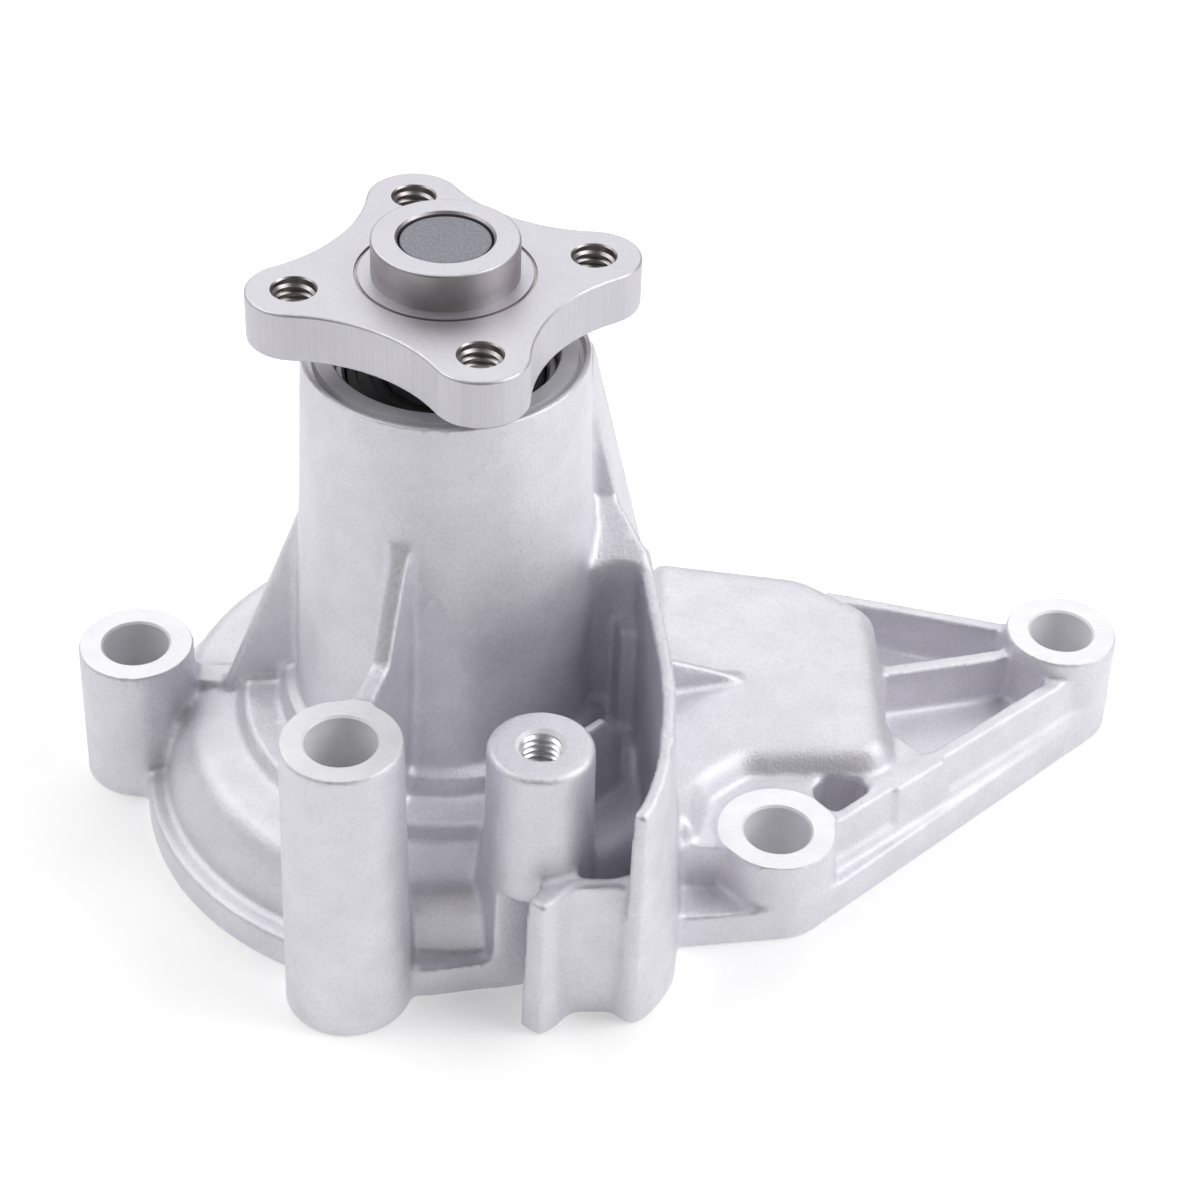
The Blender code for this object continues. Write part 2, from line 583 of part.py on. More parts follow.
def build_chamber_and_arm():
    """The outlet chamber, the base plate, and the open arm with its rails out to the far boss."""
    crown = CHAMBER_CROWN
    levels = ((-0.5, -OVERRUN), (-0.25, CHAMBER_HEIGHT - crown * 1.2), (0.12, CHAMBER_HEIGHT - crown * 0.45),
              (0.8, CHAMBER_HEIGHT))
    rings = [level(rounded(drawn_in(CHAMBER_CORNERS, crown * share)), z) for share, z in levels]
    chamber = loft("chamber", rings)
    discs = [(*MID_BOSS, MID_BOSS_RADIUS + PLATE_MARGIN / 3), (*FAR_BOSS, FAR_BOSS_RADIUS + PLATE_MARGIN)]
    plate = prism("plate", hull_of_discs(discs + list(PLATE_CORNERS)), -OVERRUN, PLATE_THICKNESS)
    along = (Vector(FAR_BOSS) - Vector(MID_BOSS)).normalized()
    outward = Vector((along.y, -along.x))
    low_rail = bar(Vector(MID_BOSS) + outward * RAIL_FROM_MID_BOSS,
                   Vector(FAR_BOSS) + outward * RAIL_FROM_FAR_BOSS - along * FAR_BOSS_RADIUS * 0.5,
                   RAIL_THICKNESS)
    top_rail = bar(TOP_RAIL_START, Vector(FAR_BOSS) + Vector((-0.003, TOP_RAIL_FROM_FAR_BOSS)), RAIL_THICKNESS)
    spoke = bar(SPOKE_START, FAR_BOSS, RAIL_THICKNESS * 0.9)
    rib_line = Vector(CHAMBER_RIB_END) - Vector(CHAMBER_RIB_START)
    across = Vector((-rib_line.y, rib_line.x)).normalized() * CHAMBER_RIB_THICKNESS / 2
    start, end = Vector(CHAMBER_RIB_START), Vector(CHAMBER_RIB_END)
    foot = CHAMBER_HEIGHT - 1.5 * CHAMBER_CROWN
    rib_rings = [[(*(start + side), foot), (*(end + side), foot), (*(end + side), CHAMBER_HEIGHT - 0.0003),
                  (*(start + side), CHAMBER_HEIGHT + CHAMBER_RIB_HEIGHT)] for side in (across, -across)]
    join(chamber, loft("chamber_rib", rib_rings))
    return [chamber, plate, prism("low_rail", low_rail, -OVERRUN / 2, RAIL_TOP),
            prism("top_rail", top_rail, -OVERRUN / 2, RAIL_TOP + 0.0001),
            prism("spoke", spoke, -OVERRUN / 2, RAIL_TOP - 0.0001),
            prism("lug_web", LUG_WEB, -OVERRUN / 2, LUG_WEB_TOP),
            boss(MID_BOSS, MID_BOSS_HEIGHT, MID_BOSS_RADIUS), boss(FAR_BOSS, FAR_BOSS_HEIGHT, FAR_BOSS_RADIUS)]


def body_cutters():
    """What the casting's core and the machining take away, from the gasket face to the tower's rim."""
    wide = LIP_RADIUS + FAR_BOSS[0]
    below = [(-wide, -wide), (wide, -wide), (wide, wide), (-wide, wide)]
    volute = SHOULDER_RADIUS - VOLUTE_WALL * 0.6
    seat = SEAL_CUP_BOTTOM + SEAL_CUP_WALL + FIT_GAP
    seat_radius = SEAL_CUP_RADIUS + SEAL_CUP_LIP + 2 * FIT_GAP
    core = [(0, -OVERRUN), (volute, -OVERRUN), (volute - 0.0004, VOLUTE_FLOOR * 0.55),
            (volute - 0.0026, VOLUTE_FLOOR - 0.0014), (volute - 0.0060, VOLUTE_FLOOR),
            (seat_radius, VOLUTE_FLOOR), (seat_radius, seat), (SEAL_CUP_RADIUS + FIT_GAP, seat),
            (SEAL_CUP_RADIUS + FIT_GAP, SEAL_BORE_TOP), (SHOULDER_BORE_RADIUS, SEAL_BORE_TOP),
            (SHOULDER_BORE_RADIUS, BEARING_SEAT), (BEARING_RADIUS + FIT_GAP, BEARING_SEAT),
            (BEARING_RADIUS + FIT_GAP, TOWER_TOP - RIM_STEP - MOUTH_WIDTH),
            (BEARING_RADIUS + FIT_GAP + MOUTH_WIDTH, TOWER_TOP - RIM_STEP),
            (TOWER_RADIUS - RIM_CHAMFER - RIM_LAND, TOWER_TOP - RIM_STEP),
            (TOWER_RADIUS - RIM_CHAMFER - RIM_LAND, TOWER_TOP + OVERRUN), (0, TOWER_TOP + OVERRUN)]
    room = ((CHAMBER_CORNERS[0][0], CHAMBER_CORNERS[3][1], FIT_GAP), *CHAMBER_CORNERS[4:])
    hollow = rounded(drawn_in(room, CHAMBER_WALL))
    weep_height = (SEAL_BORE_TOP + BEARING_SEAT) / 2
    weep = circle((0, weep_height), WEEP_RADIUS, SMALL_STEPS)
    weep_rings = [[(x, y, z) for x, z in weep] for y in (SHOULDER_BORE_RADIUS * 0.6, LIP_RADIUS)]
    cutters = [lathe("core", core, seam=0.5), prism("hollow", hollow, -OVERRUN, CHAMBER_HEIGHT - CHAMBER_ROOF),
               prism("lug_pocket", LUG_POCKET, PLATE_THICKNESS, LUG_WEB_TOP + OVERRUN),
               loft("weep", weep_rings),
               chamfered_hole(TAPPED_BOSS, TAP_RADIUS, TAP_CHAMFER, TAPPED_BOSS_HEIGHT - TAP_DEPTH,
                              TAPPED_BOSS_HEIGHT)]
    for centre, height in ((LEFT_BOSS, LEFT_BOSS_HEIGHT), (FRONT_BOSS, FRONT_BOSS_HEIGHT),
                           (MID_BOSS, MID_BOSS_HEIGHT), (FAR_BOSS, FAR_BOSS_HEIGHT)):
        cutters.append(chamfered_hole(centre, BOLT_HOLE_RADIUS, BOLT_HOLE_CHAMFER, -OVERRUN, height))
    return [prism("below", below, -4 * OVERRUN, 0)] + cutters


def build_body(material):
    body = build_volute()
    join(body, *build_bosses())
    join(body, *build_tower_ribs())
    join(body, *build_chamber_and_arm())
    join(body, *build_wall())
    cut(body, *body_cutters())
    return hand_over(body, material)


def flange_outline(margin):
    """Lobes round the tapped holes, joined by hollow sides, drawn in by a margin."""
    lobe = LOBE_RADIUS - margin
    lobe_centre = LOBE_REACH - LOBE_RADIUS
    waist = WAIST_RADIUS - margin
    half = math.pi / LOBE_COUNT
    # The hollow's circle touches the lobe's circle and comes to the waist between two lobes.
    hollow_centre = ((lobe_centre**2 - (lobe - waist) ** 2)
                     / (2 * (lobe_centre * math.cos(half) + lobe - waist)))
    hollow = hollow_centre - waist
    middle = Vector(polar(hollow_centre, half))
    away = middle - Vector((lobe_centre, 0))
    touch = math.atan2(away.y, away.x)
    outline = []
    for number in range(LOBE_COUNT):
        turn = FLANGE_TURN + number * 2 * half
        for step in range(-6, 7):
            x, y = polar(lobe, touch * step / 6)
            outline.append(turned((lobe_centre + x, y), turn))
        for step in range(1, 6):
            x, y = polar(hollow, math.pi + half + (touch - half) * (1 - step / 3))
            outline.append(turned((middle.x + x, middle.y + y), turn))
    return outline


def build_flange(material, spinner):
    """The lobed flange with its hub, bored for the shaft and tapped for the pulley bolts."""
    outline, edge = flange_outline(0), flange_outline(FLANGE_EDGE_BREAK)
    flange = loft("drive_flange", [level(edge, FLANGE_BOTTOM),
                                   level(outline, FLANGE_BOTTOM + FLANGE_EDGE_BREAK),
                                   level(outline, FLANGE_TOP - FLANGE_EDGE_BREAK),
                                   level(edge, FLANGE_TOP)])
    hub = [(0, FLANGE_BOTTOM - LOWER_HUB_HEIGHT), (LOWER_HUB_RADIUS, FLANGE_BOTTOM - LOWER_HUB_HEIGHT),
           (LOWER_HUB_RADIUS, FLANGE_BOTTOM + 2 * FLANGE_EDGE_BREAK),
           (HUB_RADIUS, FLANGE_BOTTOM + 2 * FLANGE_EDGE_BREAK),
           (HUB_RADIUS, HUB_TOP - HUB_EDGE_BREAK), (HUB_RADIUS - HUB_EDGE_BREAK, HUB_TOP), (0, HUB_TOP)]
    join(flange, lathe("hub", hub))
    groove = [(FACE_GROOVE_RADIUS, FLANGE_TOP - FACE_GROOVE_DEPTH),
              (FACE_GROOVE_RADIUS + FACE_GROOVE_WIDTH, FLANGE_TOP - FACE_GROOVE_DEPTH),
              (FACE_GROOVE_RADIUS + FACE_GROOVE_WIDTH, FLANGE_TOP + FACE_GROOVE_DEPTH),
              (FACE_GROOVE_RADIUS, FLANGE_TOP + FACE_GROOVE_DEPTH)]
    below, above = FLANGE_BOTTOM - 2 * LOWER_HUB_HEIGHT, HUB_TOP + OVERRUN
    bore_radius = SHAFT_END_RADIUS + FIT_GAP
    bore = [(0, below), (bore_radius, below), (bore_radius, above), (0, above)]
    cutters = [lathe("groove", groove, FINE_STEPS - 16, seam=0.5), lathe("bore", bore, seam=0.5)]
    for number in range(LOBE_COUNT):
        centre = polar(BOLT_CIRCLE_RADIUS, FLANGE_TURN + number * 2 * math.pi / LOBE_COUNT)
        cutters.append(chamfered_hole(centre, FLANGE_TAP_RADIUS, FLANGE_TAP_CHAMFER,
                                      FLANGE_BOTTOM - OVERRUN, FLANGE_TOP, SMALL_STEPS + 4))
    cut(flange, *cutters)
    return hand_over(flange, material, spinner)


def build_shaft(material, spinner):
    step_down = MATING_RING_TOP + FIT_GAP
    profile = [(0, IMPELLER_RECESS), (SHAFT_END_RADIUS - SHAFT_CHAMFER, IMPELLER_RECESS),
               (SHAFT_END_RADIUS, IMPELLER_RECESS + SHAFT_CHAMFER), (SHAFT_END_RADIUS, step_down),
               (SHAFT_RADIUS, step_down + SHAFT_CHAMFER), (SHAFT_RADIUS, SHAFT_SHOULDER - SHAFT_CHAMFER),
               (SHAFT_RADIUS - SHAFT_CHAMFER, SHAFT_SHOULDER), (SHAFT_END_RADIUS, SHAFT_SHOULDER),
               (SHAFT_END_RADIUS, SHAFT_TOP - SHAFT_CHAMFER), (SHAFT_END_RADIUS - SHAFT_CHAMFER, SHAFT_TOP),
               (0, SHAFT_TOP)]
    return hand_over(lathe("bearing_shaft", profile, INNER_STEPS + 8), material, spinner)


def ring(name, inner, outer, bottom, top, steps=INNER_STEPS):
    return lathe(name, [(inner, bottom), (outer, bottom), (outer, top), (inner, top)], steps, seam=0.5)


def build_bearing_shell(steel, rubber):
    hand_over(ring("bearing_outer_ring", RACE_RADIUS, BEARING_RADIUS, BEARING_BOTTOM, BEARING_TOP), steel)
    inner, outer = SHAFT_RADIUS + RUN_GAP, RACE_RADIUS - FIT_GAP
    front = BEARING_TOP - BEARING_SEAL_INSET
    rear = BEARING_BOTTOM + BEARING_SEAL_INSET
    hand_over(ring("bearing_seal_front", inner, outer, front - BEARING_SEAL_THICKNESS, front), rubber)
    hand_over(ring("bearing_seal_rear", inner, outer, rear, rear + BEARING_SEAL_THICKNESS), rubber)


def build_cage(name, half_height, row, pocket, material, carrier):
    """A ring with a pocket cut for each ball or roller."""
    inner, outer = ROLLING_PITCH - CAGE_THICKNESS / 2, ROLLING_PITCH + CAGE_THICKNESS / 2
    cage = ring(name, inner, outer, row - half_height - CAGE_RIM, row + half_height + CAGE_RIM, INNER_STEPS)
    cut(cage, *(pocket(number) for number in range(ROLLING_COUNT)))
    return hand_over(cage, material, carrier)


def rolling_direction(number):
    return Vector(polar(1, (number + 0.5) * 2 * math.pi / ROLLING_COUNT))


def build_ball_row(steel, plastic, carrier):
    opening = ROLLING_RADIUS + FIT_GAP

    def pocket(number):
        outline = circle((0, BALL_ROW), opening, SMALL_STEPS)
        along = rolling_direction(number)
        rings = [[(*(along * (ROLLING_PITCH + reach) + Vector((-along.y, along.x)) * u), z) for u, z in outline]
                 for reach in (-CAGE_THICKNESS, CAGE_THICKNESS)]
        return loft("pocket", rings)

    build_cage("ball_cage", opening, BALL_ROW, pocket, plastic, carrier)
    for number in range(ROLLING_COUNT):
        bm = bmesh.new()
        bmesh.ops.create_uvsphere(bm, u_segments=SMALL_STEPS, v_segments=6, radius=ROLLING_RADIUS)
        place = rolling_direction(number) * ROLLING_PITCH
        bmesh.ops.translate(bm, verts=bm.verts, vec=(*place, BALL_ROW))
        hand_over(add_object(f"ball_{number + 1}", bm), steel, carrier)


def build_roller_row(steel, plastic, carrier):
    half = ROLLER_LENGTH / 2 + FIT_GAP

    def pocket(number):
        along = rolling_direction(number)
        window = bar(along * (ROLLING_PITCH - CAGE_THICKNESS), along * (ROLLING_PITCH + CAGE_THICKNESS),
                     2 * (ROLLING_RADIUS + FIT_GAP))
        return prism("pocket", window, ROLLER_ROW - half, ROLLER_ROW + half)

    build_cage("roller_cage", half, ROLLER_ROW, pocket, plastic, carrier)
    for number in range(ROLLING_COUNT):
        place = rolling_direction(number) * ROLLING_PITCH
        outline = circle(place, ROLLING_RADIUS, SMALL_STEPS)
        roller = prism(f"roller_{number + 1}", outline, ROLLER_ROW - ROLLER_LENGTH / 2,
                       ROLLER_ROW + ROLLER_LENGTH / 2)
        hand_over(roller, steel, carrier)


def build_fixed_seal(brass, rubber, carbon, spring_steel):
    """The half of the water seal that stays in the body: cup, bellows, spring and carbon face."""
    hole = SEAL_INNER_RADIUS
    outer, inner = SEAL_CUP_RADIUS, SEAL_CUP_RADIUS - SEAL_CUP_WALL
    cup = [(hole, SEAL_CUP_ROOF), (inner, SEAL_CUP_ROOF), (inner, SEAL_CUP_BOTTOM),
           (outer + SEAL_CUP_LIP, SEAL_CUP_BOTTOM), (outer + SEAL_CUP_LIP, SEAL_CUP_BOTTOM + SEAL_CUP_WALL),
           (outer, SEAL_CUP_BOTTOM + SEAL_CUP_WALL), (outer, SEAL_CUP_TOP), (hole, SEAL_CUP_TOP)]
    hand_over(lathe("seal_cup", cup, INNER_STEPS), brass)
    hand_over(ring("carbon_ring", hole, hole + CARBON_RING_WIDTH, CARBON_BOTTOM, CARBON_TOP), carbon)
    folds = range(2 * BELLOWS_FOLDS + 1)
    heights = [BELLOWS_BOTTOM + BELLOWS_HEIGHT * i / (2 * BELLOWS_FOLDS) for i in folds]
    swing = [BELLOWS_FOLD if i % 2 else 0.0 for i in folds]
    outside = [(hole + BELLOWS_WALL + s, z) for s, z in zip(swing, heights)]
    inside = [(hole + s, z) for s, z in zip(swing, heights)]
    hand_over(lathe("seal_bellows", outside + inside[::-1], INNER_STEPS), rubber)
    hand_over(build_spring(), spring_steel)


def build_spring():
    """One unbroken wire, coiled round the bellows between the carbon ring and the cup's roof."""
    bottom = CARBON_TOP + FIT_GAP + SPRING_WIRE_RADIUS
    top = SEAL_CUP_ROOF - FIT_GAP - SPRING_WIRE_RADIUS
    count = SPRING_TURNS * SPRING_POINTS_PER_TURN + 1
    curve = bpy.data.curves.new("seal_spring_wire", "CURVE")
    curve.dimensions = "3D"
    curve.bevel_depth = SPRING_WIRE_RADIUS
    curve.bevel_resolution = 1
    curve.use_fill_caps = True
    spline = curve.splines.new("POLY")
    spline.points.add(count - 1)
    for i, point in enumerate(spline.points):
        angle = 2 * math.pi * i / SPRING_POINTS_PER_TURN
        point.co = (*polar(SPRING_RADIUS, angle), bottom + (top - bottom) * i / (count - 1), 1)
    gap = (top - bottom) / SPRING_TURNS - 2 * SPRING_WIRE_RADIUS
    print(f"seal_spring: {1000 * gap:.2f} mm between turns")
    wire = bpy.data.objects.new("seal_spring_wire", curve)
    bpy.context.scene.collection.objects.link(wire)
    mesh = bpy.data.meshes.new_from_object(wire.evaluated_get(bpy.context.evaluated_depsgraph_get()))
    bpy.data.objects.remove(wire)
    bm = bmesh.new()
    bm.from_mesh(mesh)
    return add_object("seal_spring", bm)


def build_turning_seal(ceramic, rubber, spinner):
    inner = SHAFT_END_RADIUS + FIT_GAP
    boot = inner + BOOT_WIDTH
    face = boot + FIT_GAP
    hand_over(ring("mating_ring_boot", inner, boot, MATING_RING_BOTTOM, MATING_RING_TOP - FIT_GAP),
              rubber, spinner)
    hand_over(ring("mating_ring", face, face + MATING_RING_WIDTH, MATING_RING_BOTTOM, MATING_RING_TOP),
              ceramic, spinner)


def build_impeller(material, spinner):
    """A disc on a hub, with backward-swept vanes on the side that faces the engine block."""
    disc_top = IMPELLER_TOP - 0.0006
    disc_bottom = disc_top - IMPELLER_DISC_THICKNESS
    profile = [(SHAFT_END_RADIUS + FIT_GAP, IMPELLER_RECESS), (IMPELLER_HUB_RADIUS, IMPELLER_RECESS),
               (IMPELLER_HUB_RADIUS, disc_bottom), (IMPELLER_RADIUS, disc_bottom), (IMPELLER_RADIUS, disc_top),
               (IMPELLER_HUB_RADIUS, disc_top), (IMPELLER_HUB_RADIUS, IMPELLER_TOP),
               (SHAFT_END_RADIUS + FIT_GAP, IMPELLER_TOP)]
    impeller = lathe("impeller", profile, INNER_STEPS)
    root = IMPELLER_HUB_RADIUS - 0.0008
    tip = IMPELLER_RADIUS - 0.0005
    for number in range(VANE_COUNT):
        start = number * 2 * math.pi / VANE_COUNT
        shares = [step / VANE_POINTS for step in range(VANE_POINTS + 1)]
        line = [Vector(polar(root + (tip - root) * t, start - VANE_SWEEP * t**1.2)) for t in shares]
        outline = ribbon(line, VANE_THICKNESS / 2, VANE_THICKNESS / 2)
        join(impeller, prism("vane", outline, IMPELLER_RECESS + 0.0002, disc_bottom + 0.0006))
    return hand_over(impeller, material, spinner)


def main():
    clear_scene()
    cast = finish_material("cast_aluminium", (0.70, 0.70, 0.73), 0.85, 0.50)
    flange_steel = finish_material("flange_steel", (0.66, 0.65, 0.64), 0.95, 0.33)
    shaft_steel = finish_material("shaft_steel", (0.20, 0.20, 0.21), 0.85, 0.45)
    bearing_steel = finish_material("bearing_steel", (0.58, 0.58, 0.60), 1.0, 0.22)
    black_rubber = finish_material("black_rubber", (0.02, 0.02, 0.02), 0.0, 0.70)
    cage_plastic = finish_material("cage_plastic", (0.72, 0.66, 0.50), 0.0, 0.50)
    cup_brass = finish_material("cup_brass", (0.72, 0.53, 0.28), 1.0, 0.32)
    carbon = finish_material("seal_carbon", (0.05, 0.05, 0.055), 0.1, 0.40)
    ceramic = finish_material("seal_ceramic", (0.82, 0.80, 0.74), 0.0, 0.25)
    impeller_steel = finish_material("impeller_steel", (0.52, 0.51, 0.50), 1.0, 0.38)

    spinner = axis_empty("shaft_axis")
    ball_carrier = axis_empty("ball_cage_axis")
    roller_carrier = axis_empty("roller_cage_axis")

    build_body(cast)
    build_flange(flange_steel, spinner)
    build_shaft(shaft_steel, spinner)
    build_bearing_shell(bearing_steel, black_rubber)
    build_ball_row(bearing_steel, cage_plastic, ball_carrier)
    build_roller_row(bearing_steel, cage_plastic, roller_carrier)
    build_fixed_seal(cup_brass, black_rubber, carbon, bearing_steel)
    build_turning_seal(ceramic, black_rubber, spinner)
    build_impeller(impeller_steel, spinner)


main()
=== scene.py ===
"""Looks of the engine coolant pump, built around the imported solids.

The casting is laid out as a field of distances, so that it can be filleted and rounded as a mould
leaves it, and is then faced, bored and drilled. Flange, shaft, bearing end and impeller are turned
and swept finely. Metres, in the frame of the solids: shaft along +Z, gasket face at z = 0.
"""

import math

import bmesh
import bpy
import numpy as np
import openvdb
from mathutils import Matrix, Vector, geometry


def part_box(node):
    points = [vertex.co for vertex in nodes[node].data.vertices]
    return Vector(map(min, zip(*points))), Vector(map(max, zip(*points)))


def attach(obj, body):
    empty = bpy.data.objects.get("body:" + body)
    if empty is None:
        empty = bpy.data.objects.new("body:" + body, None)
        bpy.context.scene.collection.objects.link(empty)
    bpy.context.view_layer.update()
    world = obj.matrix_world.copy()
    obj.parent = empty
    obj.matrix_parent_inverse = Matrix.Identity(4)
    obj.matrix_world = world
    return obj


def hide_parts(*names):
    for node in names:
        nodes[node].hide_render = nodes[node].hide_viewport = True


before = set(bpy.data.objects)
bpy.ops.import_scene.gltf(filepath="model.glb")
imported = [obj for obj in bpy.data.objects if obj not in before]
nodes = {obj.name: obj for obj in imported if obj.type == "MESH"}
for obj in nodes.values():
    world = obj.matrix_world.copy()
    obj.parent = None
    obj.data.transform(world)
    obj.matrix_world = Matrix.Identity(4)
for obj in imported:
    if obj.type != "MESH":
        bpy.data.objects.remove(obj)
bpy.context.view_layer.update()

# Fineness of the casting's field, and the radii of its hollow and outer edges
VOXEL = 0.00036
FILLET = 0.0009
EDGE = 0.00036
BAND = 0.0045
SKIN_ADAPTIVITY = 0.015
FOOT = -0.002
STOCK = 0.0012
FIELD_LOW = (-0.060, -0.058, -0.0075)
FIELD_HIGH = (0.108, 0.057, 0.0830)
TURN_STEPS = 128
HOLE_STEPS = 72

# Tower and dome
TOWER_TOP = 0.0773
TOWER_RADIUS = 0.0194
TOWER_DRAFT = 0.036
RIM_EDGE = 0.0004
RIM_GROOVE = (0.0177, 0.0187, 0.0014)
MOUTH_EDGE = 0.0002
LIP_RADIUS = 0.0442
LIP_THICKNESS = 0.0050
DOME_FOOT_RADIUS = 0.0411
SHOULDER_RADIUS = 0.0378
SHOULDER_HEIGHT = 0.0141
DOME_STEP_RADIUS = 0.0306
DOME_STEP_HEIGHT = 0.0158
INNER_STEP_RADIUS = 0.0291
INNER_STEP_HEIGHT = 0.0180
COLLAR_RADIUS = 0.0240
COLLAR_HEIGHT = 0.0217
VOLUTE_SWELL = (-0.0011, 0.0050)
VOLUTE_WALL = 0.0038
VOLUTE_FLOOR = 0.0122
FRONT_FACE = ((-0.0008, -0.0445), (0.0225, -0.0384))

# Bosses: centre, height, radius
BOLT_HOLE_RADIUS = 0.0048
BOLT_HOLE_CHAMFER = 0.0003
BOSS_DRAFT = 0.013
LEFT_BOSS = ((-0.0455, 0.0022), 0.0223, 0.0083)
FRONT_BOSS = ((-0.0104, -0.0435), 0.0454, 0.0081)
MID_BOSS = ((0.0483, -0.0219), 0.0132, 0.0083)
FAR_BOSS = ((0.0926, 0.0223), 0.0159, 0.0084)
TAPPED_BOSS = ((0.0150, -0.0370), 0.0404, 0.0072)
BOLT_BOSSES = (LEFT_BOSS, FRONT_BOSS, MID_BOSS, FAR_BOSS)
TAPPED_BOSS_EDGE = 0.0009
FACING_REACH = 0.0003
RIM_CUT_REACH = 0.0060
CUT_OVER = 0.004
CUT_UNDER = -0.003
SKIM = 0.0002
PEDESTAL_HEIGHT = 0.0203
BOSS_TIE = ((-0.0420, 0.0036), (-0.0300, 0.0036))
BOSS_TIE_WIDTH = 0.0045
BOSS_TIE_TOP = 0.0162

# Ribs, wall, shelf and buttress
WEB_THICKNESS = 0.0028
WEB_TOP = 0.0598
WEB_KNEE_RADIUS = 0.0295
GUSSET_THICKNESS = 0.0025
GUSSET_TOP = 0.0502
GUSSET_FOOT_RADIUS = 0.0326
BACKING_THICKNESS = 0.0015
BACKING_TOP = 0.0300
BACKING_TIE_DROP = 0.0030
BACKING_SHOULDER = 0.0252
BACKING_START = math.radians(-31.5)
BACKING_SHOULDER_START = math.radians(-39)
BACKING_END = math.radians(-62)
BUTTRESS_TOP = 0.0685
BUTTRESS_FRONT = 0.0050
BUTTRESS_WIDTH = 0.0120
BUTTRESS_REACH = 0.0285
BUTTRESS_UPRIGHT = 0.0180
SHELF_FRONT = -0.0045
SHELF_HEIGHT = 0.0460
SHELF_RISE = 0.0050
SHELF_SCOOP = 0.0008
SHELF_FLARE = 0.49
PIN_RIB_RADIUS = 0.0013
PIN_RIB_HEIGHT = 0.0357
PIN_RIB_OUT = 0.0014
WALL_TOP_FRONT = 0.0380
WALL_TOP_BACK = 0.0460
WALL_HALF = 0.00095
WALL_FOOT_REACH = 0.0033
WALL_TIP_REACH = 0.0001
WALL_TIP = 0.0085
WALL_LINE = ((0.0276, -0.0012), (0.0301, -0.0157), (0.0314, -0.0240), (0.0316, -0.0310),
             (0.0311, -0.0385), (0.0296, -0.0444), (0.0281, -0.0475))
LOW_LIP_HEIGHT = 0.0233
LOW_LIP_SPREAD = 0.0006
LOW_LIP_DRAFT = 0.025
LOW_LIP_FRONT = ((0.0161, -0.0499), (0.0178, -0.0485), (0.0190, -0.0468), (0.0208, -0.0455),
                 (0.0235, -0.0453), (0.0261, -0.0448), (0.0295, -0.0428))
FAIRING = ((0.0277, -0.0474), (0.0266, -0.0463), (0.0246, -0.0454), (0.0250, -0.0442), (0.0290, -0.0430),
           (0.0300, -0.0446))
FAIRING_LOW = 0.0150
LOW_LIP_BACK = ((0.0140, -0.0483), (0.0156, -0.0459), (0.0171, -0.0444), (0.0189, -0.0436), (0.0221, -0.0434),
                (0.0255, -0.0431), (0.0295, -0.0412))

# Outlet chamber and arm
CHAMBER_HEIGHT = 0.0165
CHAMBER_ROOF = 0.0034
CHAMBER_WALL = 0.0032
CHAMBER_EDGE = 0.0034
CHAMBER_CORNERS = ((0.0300, -0.0255, 0.0005), (0.0364, -0.0250, 0.0020), (0.0380, -0.0164, 0.0060),
                   (0.0440, -0.0104, 0.0050), (0.0652, -0.0086, 0.0045), (0.0642, 0.0254, 0.0060),
                   (0.0532, 0.0334, 0.0090), (0.0300, 0.0362, 0.0005))
CHAMBER_RIB_HEIGHT = 0.0075
CHAMBER_RIB_THICKNESS = 0.0016
CHAMBER_RIB_START = (0.0285, 0.0028)
CHAMBER_RIB_END = (0.0446, 0.0076)
PLATE_THICKNESS = 0.0055
PLATE_DISCS = ((0.0483, -0.0219, 0.0085), (0.0926, 0.0223, 0.0087), (0.0362, -0.0300, 0.0026),
               (0.0595, 0.0300, 0.0035), (0.0330, 0.0340, 0.0030))
RAIL_TOP = 0.0130
RAIL_THICKNESS = 0.0023
RAIL_DRAFT = 0.03
LOW_RAIL_DRAFT = 0.12
RAIL_FROM_MID_BOSS = 0.0031
RAIL_FROM_FAR_BOSS = 0.0056
RAIL_FOOT_TOP = 0.0068
RAIL_FOOT_OUT = 0.0015
RAIL_PAD = (0.0195, 0.0292)
RAIL_PAD_OUT = 0.0006
SPOKE_THICKNESS = 0.0025
TOP_RAIL_START = (0.0570, 0.0325)
TOP_RAIL_FROM_FAR_BOSS = 0.0028
SPOKE_START = (0.0600, 0.0130)
LUG_WEB_TOP = 0.0128
LUG_WEB = ((0.0320, -0.0272), (0.0366, -0.0258), (0.0402, -0.0258), (0.0432, -0.0280), (0.0580, -0.0190),
           (0.0716, -0.0052), (0.0650, 0.0020), (0.0560, -0.0060), (0.0320, -0.0060))
LUG_POCKET = ((0.0536, -0.0124), (0.0543, -0.0154), (0.0564, -0.0176), (0.0618, -0.0124),
              (0.0610, -0.0101), (0.0554, -0.0099))

# Bores, from the gasket face upwards
SEAT_RADIUS = 0.0162
SEAT_HEIGHT = 0.0149
SEAL_BORE_RADIUS = 0.0143
SEAL_BORE_TOP = 0.0230
SHOULDER_BORE_RADIUS = 0.0112
BEARING_SEAT = 0.0320
BEARING_BORE_RADIUS = 0.0153
WEEP_RADIUS = 0.0020

# Threads
THREAD_RADIUS = 0.0029
THREAD_CORE = 0.0025
THREAD_PITCH = 0.0010
TAP_DEPTH = 0.0180
TAP_CHAMFER = 0.0002
BOSS_TAP_CHAMFER = 0.0005

